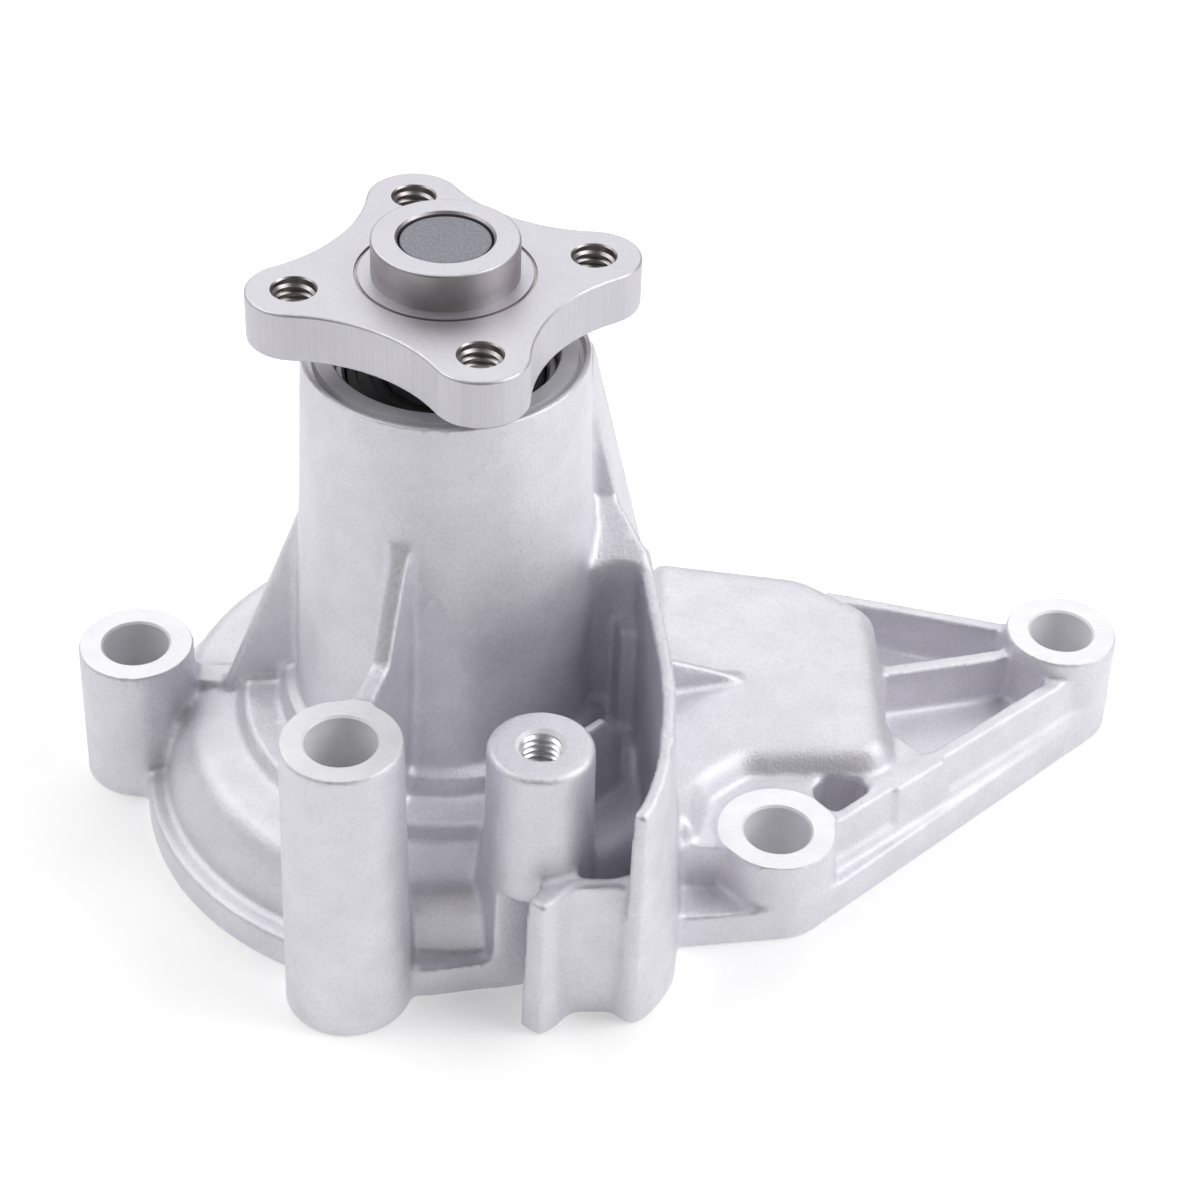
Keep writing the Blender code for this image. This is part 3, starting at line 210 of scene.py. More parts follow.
# Pulley flange and shaft end
FLANGE_BOTTOM = 0.0820
FLANGE_TOP = 0.0890
FLANGE_TURN = math.radians(16.5)
FLANGE_EDGE = 0.0004
LOBE_COUNT = 4
LOBE_RADIUS = 0.0064
LOBE_REACH = 0.0264
WAIST_RADIUS = 0.0169
BOLT_CIRCLE_RADIUS = 0.0200
HUB_RADIUS = 0.0098
HUB_TOP = 0.0943
LOWER_HUB_RADIUS = 0.0105
LOWER_HUB_HEIGHT = 0.0035
HUB_EDGE = 0.0004
FACE_GROOVE = (0.0115, 0.0120, 0.0003)
SHAFT_BORE_RADIUS = 0.0063
SHAFT_END_RADIUS = 0.0060
SHAFT_TOP = 0.0940

# Bearing end
BEARING_RADIUS = 0.0150
RACE_RADIUS = 0.01356
SHAFT_RADIUS = 0.00796
SEAL_GAP = 0.0004

# Impeller
IMPELLER_RECESS = 0.0010
IMPELLER_TOP = 0.0060
IMPELLER_RADIUS = 0.0290
IMPELLER_HUB_RADIUS = 0.0095
IMPELLER_DISC = (0.0036, 0.0054)
VANE_COUNT = 7
VANE_THICKNESS = 0.0016
VANE_SWEEP = math.radians(48)


def polar(radius, angle):
    return (radius * math.cos(angle), radius * math.sin(angle))


def turned(point, angle):
    return tuple(Matrix.Rotation(angle, 2) @ Vector(point))


def circle(centre, radius, steps):
    turns = (2 * math.pi * i / steps for i in range(steps))
    return [(centre[0] + radius * math.cos(a), centre[1] + radius * math.sin(a)) for a in turns]


def rounded(corners, steps=8):
    """The outline through (x, y, radius) corners, each rounded by an arc."""
    outline = []
    for i, (x, y, radius) in enumerate(corners):
        corner = Vector((x, y))
        if radius == 0:
            outline.append((x, y))
            continue
        back = (Vector(corners[i - 1][:2]) - corner).normalized()
        ahead = (Vector(corners[(i + 1) % len(corners)][:2]) - corner).normalized()
        half = back.angle(ahead) / 2
        middle = corner + (back + ahead).normalized() * radius / math.sin(half)
        first = corner + back * radius / math.tan(half) - middle
        turn = first.angle_signed(corner + ahead * radius / math.tan(half) - middle)
        for step in range(steps + 1):
            outline.append(tuple(middle + Vector(turned(first, -turn * step / steps))))
    return outline


def hull_of_discs(discs):
    points = [Vector(p) for x, y, radius in discs for p in circle((x, y), radius, 60)]
    return [tuple(points[i]) for i in geometry.convex_hull_2d(points)]


def smooth_line(points, steps=8):
    """Points on a smooth curve that passes through the given ones."""
    line = [Vector(p) for p in points]
    ends = [line[0] * 2 - line[1]] + line + [line[-1] * 2 - line[-2]]
    found = []
    for a, b, c, d in zip(ends, ends[1:], ends[2:], ends[3:]):
        for step in range(steps):
            t = step / steps
            found.append(0.5 * (2 * b + (c - a) * t + (2 * a - 5 * b + 4 * c - d) * t**2
                                + (3 * b - a - 3 * c + d) * t**3))
    return found + [line[-1]]


def ribbon(line, left, right):
    """The outline of a band along a line, reaching right of it, and left of it by one reach or one for each point."""
    lefts = left if isinstance(left, list) else [left] * len(line)
    sides = []
    for i, point in enumerate(line):
        along = (line[min(i + 1, len(line) - 1)] - line[max(i - 1, 0)]).normalized()
        across = Vector((-along.y, along.x))
        sides.append((point - across * right, point + across * lefts[i]))
    return [tuple(s[0]) for s in sides] + [tuple(s[1]) for s in reversed(sides)]


def bar(start, end, thickness):
    return ribbon([Vector(start), Vector(end)], thickness / 2, thickness / 2)


def tower_radius(z):
    return TOWER_RADIUS + TOWER_DRAFT * (TOWER_TOP - z)


# The casting as a field of distances, negative inside


def outline_distance(outline, x, y):
    """Distance from places to a closed outline, negative inside it."""
    shape = np.broadcast(x, y).shape
    nearest = np.full(shape, 1.0, np.float32)
    inside = np.zeros(shape, bool)
    outline = list(outline)
    for (ax, ay), (bx, by) in zip(outline, outline[1:] + outline[:1]):
        ex, ey = bx - ax, by - ay
        length = ex * ex + ey * ey
        if length < 1e-16:
            continue
        px, py = x - ax, y - ay
        share = np.clip((px * ex + py * ey) / length, 0, 1)
        nearest = np.minimum(nearest, (px - ex * share) ** 2 + (py - ey * share) ** 2)
        if ey:
            inside ^= ((ay > y) != (by > y)) & (px < py * (ex / ey))
    distance = np.sqrt(nearest)
    return np.where(inside, -distance, distance).astype(np.float32)


def looked_up(outline, reach, z):
    """Distance to an outline drawn in a (reach, z) plane, for places with the given reach."""
    step = VOXEL / 2
    first = float(reach.min()) - step
    count = int((float(reach.max()) - first) / step) + 3
    table = outline_distance(outline, (first + step * np.arange(count))[:, None], z[None, :])
    place = (reach - first) / step
    low = place.astype(np.int32)
    share = (place - low)[..., None].astype(np.float32)
    return table[low] * (1 - share) + table[low + 1] * share


def joined(side, up, edge=0.0):
    """Distance to a form from the distances to its sides and its ends, its edge rounded."""
    side, up = side + edge, up + edge
    outside = np.hypot(np.maximum(side, 0), np.maximum(up, 0))
    return outside + np.minimum(np.maximum(side, up), 0) - edge


class Casting:
    """Signed distances on a grid."""

    def __init__(self):
        self.start = [math.floor(v / VOXEL) for v in FIELD_LOW]
        ends = [math.ceil(v / VOXEL) + 1 for v in FIELD_HIGH]
        self.axes = [np.arange(a, b).astype(np.float32) * np.float32(VOXEL) for a, b in zip(self.start, ends)]
        self.values = np.full([len(axis) for axis in self.axes], BAND, np.float32)

    def window(self, low, high):
        cut = tuple(slice(int(np.searchsorted(axis, a - BAND)), int(np.searchsorted(axis, b + BAND)))
                    for axis, a, b in zip(self.axes, low, high))
        x, y, z = (axis[part] for axis, part in zip(self.axes, cut))
        return cut, x[:, None], y[None, :], z

    def add(self, form):
        low, high, shape = form
        cut, x, y, z = self.window(low, high)
        self.values[cut] = np.minimum(self.values[cut], shape(x, y, z))

    def carve(self, form):
        low, high, shape = form
        cut, x, y, z = self.window(low, high)
        self.values[cut] = np.maximum(self.values[cut], -shape(x, y, z))


def column(centre, radius, bottom, top, draft=0.0, edge=0.0):
    cx, cy = centre
    wide = radius + draft * (top - bottom)

    def shape(x, y, z):
        side = np.hypot(x - cx, y - cy)[..., None] - (radius + draft * (top - z))
        return joined(side, np.maximum(bottom - z, z - top), edge)

    return (cx - wide, cy - wide, bottom), (cx + wide, cy + wide, top), shape


def block(outline, bottom, top, draft=0.0, edge=0.0):
    xs, ys = zip(*outline)

    def shape(x, y, z):
        side = outline_distance(outline, x, y)[..., None] - draft * (top - z)
        return joined(side, np.maximum(bottom - z, z - top), edge)

    return (min(xs), min(ys), bottom), (max(xs), max(ys), top), shape


def upright(outline, along, start, thickness, origin=(0.0, 0.0)):
    """A plate whose (reach, z) outline stands in the plane along a direction from an origin."""
    along = Vector(along).normalized()
    across = Vector((-along.y, along.x))
    reaches, heights = zip(*outline)
    top = max(heights)
    corners = [Vector(origin) + along * reach + across * offset
               for reach in (min(reaches), max(reaches)) for offset in (start, start + thickness)]

    def shape(x, y, z):
        x, y = x - origin[0], y - origin[1]
        flat = looked_up(outline, x * along.x + y * along.y, z)
        offset = np.abs(x * across.x + y * across.y - start - thickness / 2) - thickness / 2
        return joined(flat, offset[..., None])

    low = (min(c.x for c in corners), min(c.y for c in corners), min(heights))
    return low, (max(c.x for c in corners), max(c.y for c in corners), top), shape


def lathe_form(profile, centre=(0.0, 0.0)):
    cx, cy = centre
    wide = max(radius for radius, z in profile)
    heights = [z for radius, z in profile]

    def shape(x, y, z):
        return looked_up(profile, np.hypot(x - cx, y - cy), z)

    return (cx - wide, cy - wide, min(heights)), (cx + wide, cy + wide, max(heights)), shape


def lay_out_dome(casting):
    """The turned dome and tower, the swell at the back and the flat at the front of the lip."""
    inner = -2 * BAND
    knee = ((SHOULDER_RADIUS + DOME_FOOT_RADIUS) / 2, SHOULDER_HEIGHT * 0.77)
    crest = (SHOULDER_RADIUS - (SHOULDER_HEIGHT - LIP_THICKNESS) * 0.2, SHOULDER_HEIGHT * 1.06)
    low = [(inner, FOOT, 0), (LIP_RADIUS, FOOT, 0), (LIP_RADIUS, LIP_THICKNESS, 0.0009),
           (DOME_FOOT_RADIUS, LIP_THICKNESS, 0.0004), (*knee, 0.006),
           (SHOULDER_RADIUS, SHOULDER_HEIGHT, 0.0044), (*crest, 0.003)]
    high = [(DOME_STEP_RADIUS, DOME_STEP_HEIGHT, 0.0008), (INNER_STEP_RADIUS, INNER_STEP_HEIGHT, 0.0009),
            (COLLAR_RADIUS, INNER_STEP_HEIGHT + 0.0004, 0.0010),
            (COLLAR_RADIUS - 0.0006, COLLAR_HEIGHT - 0.0003, 0.0010),
            (tower_radius(COLLAR_HEIGHT), COLLAR_HEIGHT, 0.0003),
            (tower_radius(TOWER_TOP + STOCK), TOWER_TOP + STOCK, 0), (inner, TOWER_TOP + STOCK, 0)]
    casting.add(lathe_form(rounded(low + high)))
    swell = [(r, z if z < 0 else z - 0.0003, e) for r, z, e in low] + [(inner, SHOULDER_HEIGHT, 0)]
    casting.add(lathe_form(rounded(swell), VOLUTE_SWELL))
    (x0, y0), (x1, y1) = FRONT_FACE
    beyond, over = y0 - LIP_RADIUS, x1 + 0.003
    casting.carve(block([(x0, beyond), (over, beyond), (over, y1), (x0, y0)], 2 * FOOT - BAND,
                        SHOULDER_HEIGHT))


def lay_out_bosses(casting):
    for centre, height, radius in BOLT_BOSSES:
        casting.add(column(centre, radius, FOOT, height + SKIM, BOSS_DRAFT))
    (cx, cy), height, radius = TAPPED_BOSS
    casting.add(column((cx, cy), radius, PEDESTAL_HEIGHT - 0.002, height, BOSS_DRAFT, TAPPED_BOSS_EDGE))
    (x0, y0), (x1, y1) = FRONT_FACE
    slope = (y1 - y0) / (x1 - x0)
    left, right, back = cx - radius * 0.75, cx + radius, cy + radius
    pedestal = [(left, y0 + slope * (left - x0)), (right, y0 + slope * (right - x0)), (right, back),
                (left - 0.0024, back), (left - 0.0026, cy)]
    casting.add(block(pedestal, FOOT, PEDESTAL_HEIGHT, 0.025))
    casting.add(block(bar(*BOSS_TIE, BOSS_TIE_WIDTH), FOOT, BOSS_TIE_TOP))


def lay_out_tower_ribs(casting):
    """The web to the front boss, the left gusset and the backing behind the tapped boss."""
    web_line = Vector(FRONT_BOSS[0])
    root = TOWER_RADIUS * 0.8
    web_top = FRONT_BOSS[1] - 0.0001
    web = [(root, VOLUTE_FLOOR), (web_line.length, VOLUTE_FLOOR - 0.004), (web_line.length, web_top),
           (WEB_KNEE_RADIUS, web_top), (tower_radius(WEB_TOP) - 0.0003, WEB_TOP), (root, WEB_TOP)]
    casting.add(upright(web, web_line, -WEB_THICKNESS / 2, WEB_THICKNESS))
    gusset = [(root, VOLUTE_FLOOR), (GUSSET_FOOT_RADIUS - 0.0015, VOLUTE_FLOOR),
              (GUSSET_FOOT_RADIUS, DOME_STEP_HEIGHT + 0.0012),
              (tower_radius(GUSSET_TOP) - 0.0003, GUSSET_TOP), (root, GUSSET_TOP)]
    casting.add(upright(gusset, (-1, 0), -GUSSET_THICKNESS, GUSSET_THICKNESS))
    ring = DOME_STEP_RADIUS - BACKING_THICKNESS / 2

    def backing(x, y, z):
        side = np.abs(np.hypot(x, y) - ring) - BACKING_THICKNESS / 2
        near = y * math.cos(BACKING_START) - x * math.sin(BACKING_START)
        far = x * math.sin(BACKING_END) - y * math.cos(BACKING_END)
        share = (np.arctan2(y, x) - BACKING_SHOULDER_START) / (BACKING_START - BACKING_SHOULDER_START)
        top = BACKING_TOP - np.clip(share, 0, 1) * (BACKING_TOP - BACKING_SHOULDER)
        up = np.maximum(z - top[..., None], VOLUTE_FLOOR - z)
        return joined(np.maximum(side, np.maximum(near, far))[..., None], up)

    wide = DOME_STEP_RADIUS
    casting.add(((0, -wide, VOLUTE_FLOOR), (wide, 0, BACKING_TOP), backing))
    tie = bar(polar(ring, BACKING_END), TAPPED_BOSS[0], 2 * BACKING_THICKNESS)
    casting.add(block(tie, VOLUTE_FLOOR, BACKING_TOP - BACKING_TIE_DROP))


def lay_out_wall(casting):
    """The tall curved wall, its low front lip, and the shelf and buttress that tie it to the tower."""
    line = smooth_line(WALL_LINE)
    back_y, front_y = WALL_LINE[0][1], WALL_LINE[-1][1]
    spread = [WALL_FOOT_REACH * min(1.0, math.sqrt((p.y - front_y) / WALL_TIP)) + WALL_TIP_REACH
              for p in line]
    foot = ribbon(line, spread, WALL_HALF + LOW_LIP_SPREAD)
    head = ribbon(line, WALL_HALF, WALL_HALF)

    def wall(x, y, z):
        along = np.clip((y - front_y) / (back_y - front_y), 0, 1)
        top = WALL_TOP_FRONT + (WALL_TOP_BACK - WALL_TOP_FRONT) * along
        share = np.clip((z + 0.003) / (top[..., None] + 0.003), 0, 1)
        low, high = outline_distance(foot, x, y)[..., None], outline_distance(head, x, y)[..., None]
        return joined(low + (high - low) * share, np.maximum(FOOT - z, z - top[..., None]))

    casting.add(((0.024, -0.050, FOOT), (0.036, 0.001, WALL_TOP_BACK), wall))
    lip = smooth_line(LOW_LIP_FRONT) + smooth_line(LOW_LIP_BACK)[::-1]
    casting.add(block([tuple(p) for p in lip], FOOT, LOW_LIP_HEIGHT, LOW_LIP_DRAFT))

    def fairing(x, y, z):
        share = np.clip((y - FAIRING[0][1]) / (FAIRING[2][1] - FAIRING[0][1]), 0, 1)
        top = FAIRING_LOW + (LOW_LIP_HEIGHT - FAIRING_LOW) * share
        return joined(outline_distance(FAIRING, x, y)[..., None], np.maximum(FOOT - z, z - top[..., None]))

    casting.add(((0.024, -0.049, FOOT), (0.031, -0.043, LOW_LIP_HEIGHT), fairing))

    inner, outer = TOWER_RADIUS * 0.8, WALL_LINE[0][0] + WALL_HALF / 2
    knee = VOLUTE_FLOOR + BUTTRESS_UPRIGHT
    peak = tower_radius(BUTTRESS_TOP) - 0.0002
    lean = (BUTTRESS_REACH - peak) / (BUTTRESS_TOP - knee)
    start = tower_radius(SHELF_HEIGHT)
    front = [(inner, SHELF_FRONT - SHELF_SCOOP), (start, SHELF_FRONT - SHELF_SCOOP)]
    for step in range(1, 6):
        dip = SHELF_SCOOP * 1.4 * math.sin(math.pi * step / 6)
        front.append((start + (outer - start) * step / 6, SHELF_FRONT - SHELF_SCOOP + dip))
    behind = BUTTRESS_FRONT + 0.002
    front += [(outer, SHELF_FRONT - SHELF_SCOOP / 2), (outer, back_y), (BUTTRESS_REACH, behind),
              (inner, behind)]
    rise = SHELF_RISE / (BUTTRESS_FRONT - SHELF_FRONT)

    def shelf(x, y, z):
        side = outline_distance(front, x, y)[..., None]
        flare = SHELF_FLARE * np.maximum(BUTTRESS_FRONT - y, 0)[..., None]
        leaning = x[..., None] - (peak + lean * (BUTTRESS_TOP - z) + flare)
        top = SHELF_HEIGHT + (y[..., None] - SHELF_FRONT) * rise
        return joined(np.maximum(side, leaning), np.maximum(VOLUTE_FLOOR - z, z - top))

    casting.add(((inner, SHELF_FRONT - 0.003, VOLUTE_FLOOR), (0.030, behind, SHELF_HEIGHT + 0.008), shelf))
    side = [(inner, VOLUTE_FLOOR), (BUTTRESS_REACH, VOLUTE_FLOOR), (BUTTRESS_REACH, knee),
            (peak, BUTTRESS_TOP), (inner, BUTTRESS_TOP)]
    casting.add(upright(side, (1, 0), BUTTRESS_FRONT, BUTTRESS_WIDTH))
    casting.add(column((outer - 0.0022, SHELF_FRONT - PIN_RIB_OUT), PIN_RIB_RADIUS, VOLUTE_FLOOR,
                       PIN_RIB_HEIGHT))


def lay_out_chamber(casting):
    """The outlet chamber with its rib, the base plate, and the open arm with its rails."""
    casting.add(block(rounded(CHAMBER_CORNERS), FOOT, CHAMBER_HEIGHT, 0.03, CHAMBER_EDGE))
    start, end = Vector(CHAMBER_RIB_START), Vector(CHAMBER_RIB_END)
    length = (end - start).length
    foot = CHAMBER_HEIGHT - 0.003
    rib = [(0, foot), (length, foot), (length, CHAMBER_HEIGHT - 0.0003),
           (0, CHAMBER_HEIGHT + CHAMBER_RIB_HEIGHT)]
    casting.add(upright(rib, end - start, -CHAMBER_RIB_THICKNESS / 2, CHAMBER_RIB_THICKNESS,
                        CHAMBER_RIB_START))
    casting.add(block(hull_of_discs(PLATE_DISCS), FOOT, PLATE_THICKNESS))
    mid, far = Vector(MID_BOSS[0]), Vector(FAR_BOSS[0])
    along = (far - mid).normalized()
    outward = Vector((along.y, -along.x))
    low_rail = bar(mid + outward * RAIL_FROM_MID_BOSS,
                   far + outward * RAIL_FROM_FAR_BOSS - along * FAR_BOSS[2] * 0.5, RAIL_THICKNESS)
    top_rail = bar(TOP_RAIL_START, far + Vector((-0.003, TOP_RAIL_FROM_FAR_BOSS)), RAIL_THICKNESS)
    spoke = bar(SPOKE_START, far, SPOKE_THICKNESS)
    for rail, draft in ((low_rail, LOW_RAIL_DRAFT), (top_rail, RAIL_DRAFT), (spoke, RAIL_DRAFT)):
        casting.add(block(rail, FOOT, RAIL_TOP, draft))
    start, end = Vector(low_rail[0]), Vector(low_rail[1])
    run = (end - start).normalized()
    inset = outward * (RAIL_FOOT_OUT - RAIL_THICKNESS / 2)
    casting.add(block(bar(start + inset, end + inset + run * FAR_BOSS[2] * 0.5, RAIL_THICKNESS), FOOT,
                      RAIL_FOOT_TOP))
    pad = [start + outward * (RAIL_PAD_OUT - RAIL_THICKNESS / 2) + run * reach for reach in RAIL_PAD]
    casting.add(block(bar(*pad, RAIL_THICKNESS), FOOT, RAIL_TOP, LOW_RAIL_DRAFT))
    casting.add(block(LUG_WEB, FOOT, LUG_WEB_TOP))


def linked(name, data):
    obj = bpy.data.objects.new(name, data)
    bpy.context.scene.collection.objects.link(obj)
    return obj


def mesh_object(name, points, faces):
    mesh = bpy.data.meshes.new(name)
    mesh.from_pydata(points, [], faces)
    return linked(name, mesh)


def moulded(casting, name):
    """The casting's surface, with fillets in its hollow edges and rounds on its outer ones."""
    spacing = openvdb.createLinearTransform(voxelSize=VOXEL)
    grid = openvdb.FloatGrid(BAND)
    grid.transform = spacing
    grid.copyFromArray(np.clip(casting.values, -BAND, BAND), ijk=tuple(casting.start))
    for there, back in ((FILLET, FILLET + EDGE), (-FILLET - EDGE, EDGE)):
        points, triangles, quads = grid.convertToPolygons(isovalue=there, adaptivity=0.0)
        grid = openvdb.FloatGrid.createLevelSetFromPolygons(points, triangles=triangles, quads=quads,
                                                            transform=spacing, halfWidth=back / VOXEL + 3)
    points, triangles, quads = grid.convertToPolygons(isovalue=EDGE, adaptivity=SKIN_ADAPTIVITY)
    faces = [face[::-1] for face in triangles.tolist()] + [face[::-1] for face in quads.tolist()]
    return mesh_object(name, points.tolist(), faces)


# Turned, swept and cut pieces


def finished(name, bm):
    bmesh.ops.remove_doubles(bm, verts=bm.verts, dist=1e-7)
    bmesh.ops.recalc_face_normals(bm, faces=bm.faces)
    mesh = bpy.data.meshes.new(name)
    bm.to_mesh(mesh)
    bm.free()
    return linked(name, mesh)


def loft(name, rings):
    """A solid through rings of (x, y, z) points, all with as many points."""
    bm = bmesh.new()
    loops = [[bm.verts.new(p) for p in ring] for ring in rings]
    bm.faces.new(loops[0])
    bm.faces.new(loops[-1])
    count = len(loops[0])
    for low, high in zip(loops, loops[1:]):
        for i in range(count):
            bm.faces.new((low[i - 1], low[i], high[i], high[i - 1]))
    return finished(name, bm)


def level(outline, z):
    return [(x, y, z) for x, y in outline]


def prism(name, outline, bottom, top):
    return loft(name, [level(outline, bottom), level(outline, top)])


def lathe(name, profile, steps=TURN_STEPS, centre=(0.0, 0.0)):
    """A turned solid. A profile that starts at radius 0 also ends there, and any other is closed."""
    bm = bmesh.new()
    verts = [bm.verts.new((radius, 0, z)) for radius, z in profile]
    edges = [bm.edges.new(pair) for pair in zip(verts, verts[1:])]
    if profile[0][0] > 0:
        edges.append(bm.edges.new((verts[-1], verts[0])))
    bmesh.ops.spin(bm, geom=verts + edges, angle=2 * math.pi, steps=steps, axis=(0, 0, 1),
                   cent=(0, 0, 0), use_merge=True)
    bmesh.ops.remove_doubles(bm, verts=bm.verts, dist=1e-7)
    bmesh.ops.translate(bm, verts=bm.verts, vec=(*centre, 0))
    return finished(name, bm)


def combine(target, tools, operation):
    for tool in tools:
        modifier = target.modifiers.new(operation.lower(), "BOOLEAN")
        modifier.operation = operation
        modifier.solver = "MANIFOLD"
        modifier.object = tool
        graph = bpy.context.evaluated_depsgraph_get()
        mesh = bpy.data.meshes.new_from_object(target.evaluated_get(graph))
        target.modifiers.clear()
        old = target.data
        target.data = mesh
        bpy.data.meshes.remove(old)
        bpy.data.objects.remove(tool)
    return target


def together(name, objects):
    """Separate closed forms as one cutter."""
    bm = bmesh.new()
    for obj in objects:
        bm.from_mesh(obj.data)
        bpy.data.objects.remove(obj)
    return finished(name, bm)


def hole_cutter(centre, radius, chamfer, bottom, top, rise=0.004):
    profile = [(0, top + rise), (radius + chamfer + rise, top + rise), (radius + chamfer, top),
               (radius, top - chamfer), (radius, bottom), (0, bottom)]
    return lathe("hole", profile, HOLE_STEPS, centre)


def drawn_in(outline, distance):
    """A counter-clockwise outline moved inwards."""
    moved = []
    for i, point in enumerate(outline):
        back = (Vector(point) - Vector(outline[i - 1])).normalized()
        ahead = (Vector(outline[(i + 1) % len(outline)]) - Vector(point)).normalized()
        normal = Vector((-back.y - ahead.y, back.x + ahead.x)).normalized()
        slant = max(normal.dot(Vector((-back.y, back.x))), 0.2)
        moved.append(tuple(Vector(point) + normal * distance / slant))
    return moved


def build_casting():
    casting = Casting()
    lay_out_dome(casting)
    lay_out_bosses(casting)
    lay_out_tower_ribs(casting)
    lay_out_wall(casting)
    lay_out_chamber(casting)
    casting.carve(block(LUG_POCKET, PLATE_THICKNESS, LUG_WEB_TOP + 2 * BAND))
    skin = moulded(casting, "casting")

    wide = 0.2
    below = prism("below", [(-wide, -wide), (wide, -wide), (wide, wide), (-wide, wide)], -0.02, 0.0)
    volute = SHOULDER_RADIUS - VOLUTE_WALL * 0.6
    over = TOWER_TOP + CUT_OVER
    core = [(0, CUT_UNDER), (volute, CUT_UNDER), (volute - 0.0004, VOLUTE_FLOOR * 0.55),
            (volute - 0.0012, VOLUTE_FLOOR - 0.0026), (volute - 0.0030, VOLUTE_FLOOR - 0.0008),
            (volute - 0.0060, VOLUTE_FLOOR), (SEAT_RADIUS, VOLUTE_FLOOR), (SEAT_RADIUS, SEAT_HEIGHT),
            (SEAL_BORE_RADIUS, SEAT_HEIGHT), (SEAL_BORE_RADIUS, SEAL_BORE_TOP),
            (SHOULDER_BORE_RADIUS, SEAL_BORE_TOP), (SHOULDER_BORE_RADIUS, BEARING_SEAT),
            (BEARING_BORE_RADIUS, BEARING_SEAT), (BEARING_BORE_RADIUS, TOWER_TOP - MOUTH_EDGE),
            (BEARING_BORE_RADIUS + MOUTH_EDGE, TOWER_TOP), (BEARING_BORE_RADIUS + MOUTH_EDGE, over),
            (0, over)]
    room = [(CHAMBER_CORNERS[0][0], CHAMBER_CORNERS[3][1], 0.0003), *CHAMBER_CORNERS[4:]]
    room = [(x, y, room[i][2]) for i, (x, y) in enumerate(drawn_in([c[:2] for c in room], CHAMBER_WALL))]
    hollow = prism("hollow", rounded([(x, y, max(e - CHAMBER_WALL, 0.001)) for x, y, e in room]), CUT_UNDER,
                   CHAMBER_HEIGHT - CHAMBER_ROOF)
    rim = TOWER_RADIUS - RIM_EDGE
    edge = [(rim + RIM_EDGE * math.sin(a), TOWER_TOP - RIM_EDGE * (1 - math.cos(a)))
            for a in (math.pi / 2 * step / 4 for step in range(5))]
    facings = [lathe("facing", [(0, h), (r + FACING_REACH, h), (r + FACING_REACH, h + CUT_OVER),
                                (0, h + CUT_OVER)],
                     HOLE_STEPS, centre) for centre, h, r in BOLT_BOSSES]
    facing = lathe("rim", [(0, TOWER_TOP), *edge, (rim + RIM_CUT_REACH, TOWER_TOP - RIM_EDGE),
                           (rim + RIM_CUT_REACH, over), (0, over)])
    inner, outer, deep = RIM_GROOVE
    groove = lathe("rim_groove", [(inner + 0.0002, TOWER_TOP - deep), (outer - 0.0002, TOWER_TOP - deep),
                                  (outer, TOWER_TOP), (outer, over), (inner, over), (inner, TOWER_TOP)])
    holes = [hole_cutter(centre, BOLT_HOLE_RADIUS, BOLT_HOLE_CHAMFER, CUT_UNDER, height)
             for centre, height, _ in BOLT_BOSSES]
    tapped, tapped_top = TAPPED_BOSS[:2]
    holes.append(hole_cutter(tapped, THREAD_RADIUS, BOSS_TAP_CHAMFER, tapped_top - TAP_DEPTH, tapped_top))
    weep_height = (SEAL_BORE_TOP + BEARING_SEAT) / 2
    weep = circle((0, weep_height), WEEP_RADIUS, 32)
    weep_ends = (SHOULDER_BORE_RADIUS * 0.6, LIP_RADIUS)
    holes.append(loft("weep", [[(x, y, z) for x, z in weep] for y in weep_ends]))
    return combine(skin, [below, together("facings", [facing, *facings]), lathe("core", core), groove, hollow,
                          together("holes", holes)], "DIFFERENCE")


def flange_outline(margin, lobe_steps=14, hollow_steps=12):
    """Lobes round the tapped holes, joined by hollow sides, drawn in by a margin."""
    lobe, waist = LOBE_RADIUS - margin, WAIST_RADIUS - margin
    lobe_centre = LOBE_REACH - LOBE_RADIUS
    half = math.pi / LOBE_COUNT
    hollow_centre = ((lobe_centre**2 - (lobe - waist) ** 2)
                     / (2 * (lobe_centre * math.cos(half) + lobe - waist)))
    hollow = hollow_centre - waist
    middle = Vector(polar(hollow_centre, half))
    away = middle - Vector((lobe_centre, 0))
    touch = math.atan2(away.y, away.x)
    outline = []
    for number in range(LOBE_COUNT):
        turn = FLANGE_TURN + number * 2 * half
        for step in range(-lobe_steps, lobe_steps + 1):
            x, y = polar(lobe, touch * step / lobe_steps)
            outline.append(turned((lobe_centre + x, y), turn))
        for step in range(1, hollow_steps):
            x, y = polar(hollow, math.pi + half + (touch - half) * (1 - 2 * step / hollow_steps))
            outline.append(turned((middle.x + x, middle.y + y), turn))
    return outline


def edge_rings(outline_at, bottom, top, radius, steps=4):
    """Rings of an upright piece whose upper and lower edges are rounded."""
    rings = []
    for step in range(steps + 1):
        angle = math.pi / 2 * step / steps
        rings.append((radius * (1 - math.sin(angle)), bottom + radius * (1 - math.cos(angle))))
    rings += [(margin, top + bottom - z) for margin, z in reversed(rings)]
    return [level(outline_at(margin), z) for margin, z in rings]


def tap_centres():
    return [polar(BOLT_CIRCLE_RADIUS, FLANGE_TURN + n * 2 * math.pi / LOBE_COUNT) for n in range(LOBE_COUNT)]


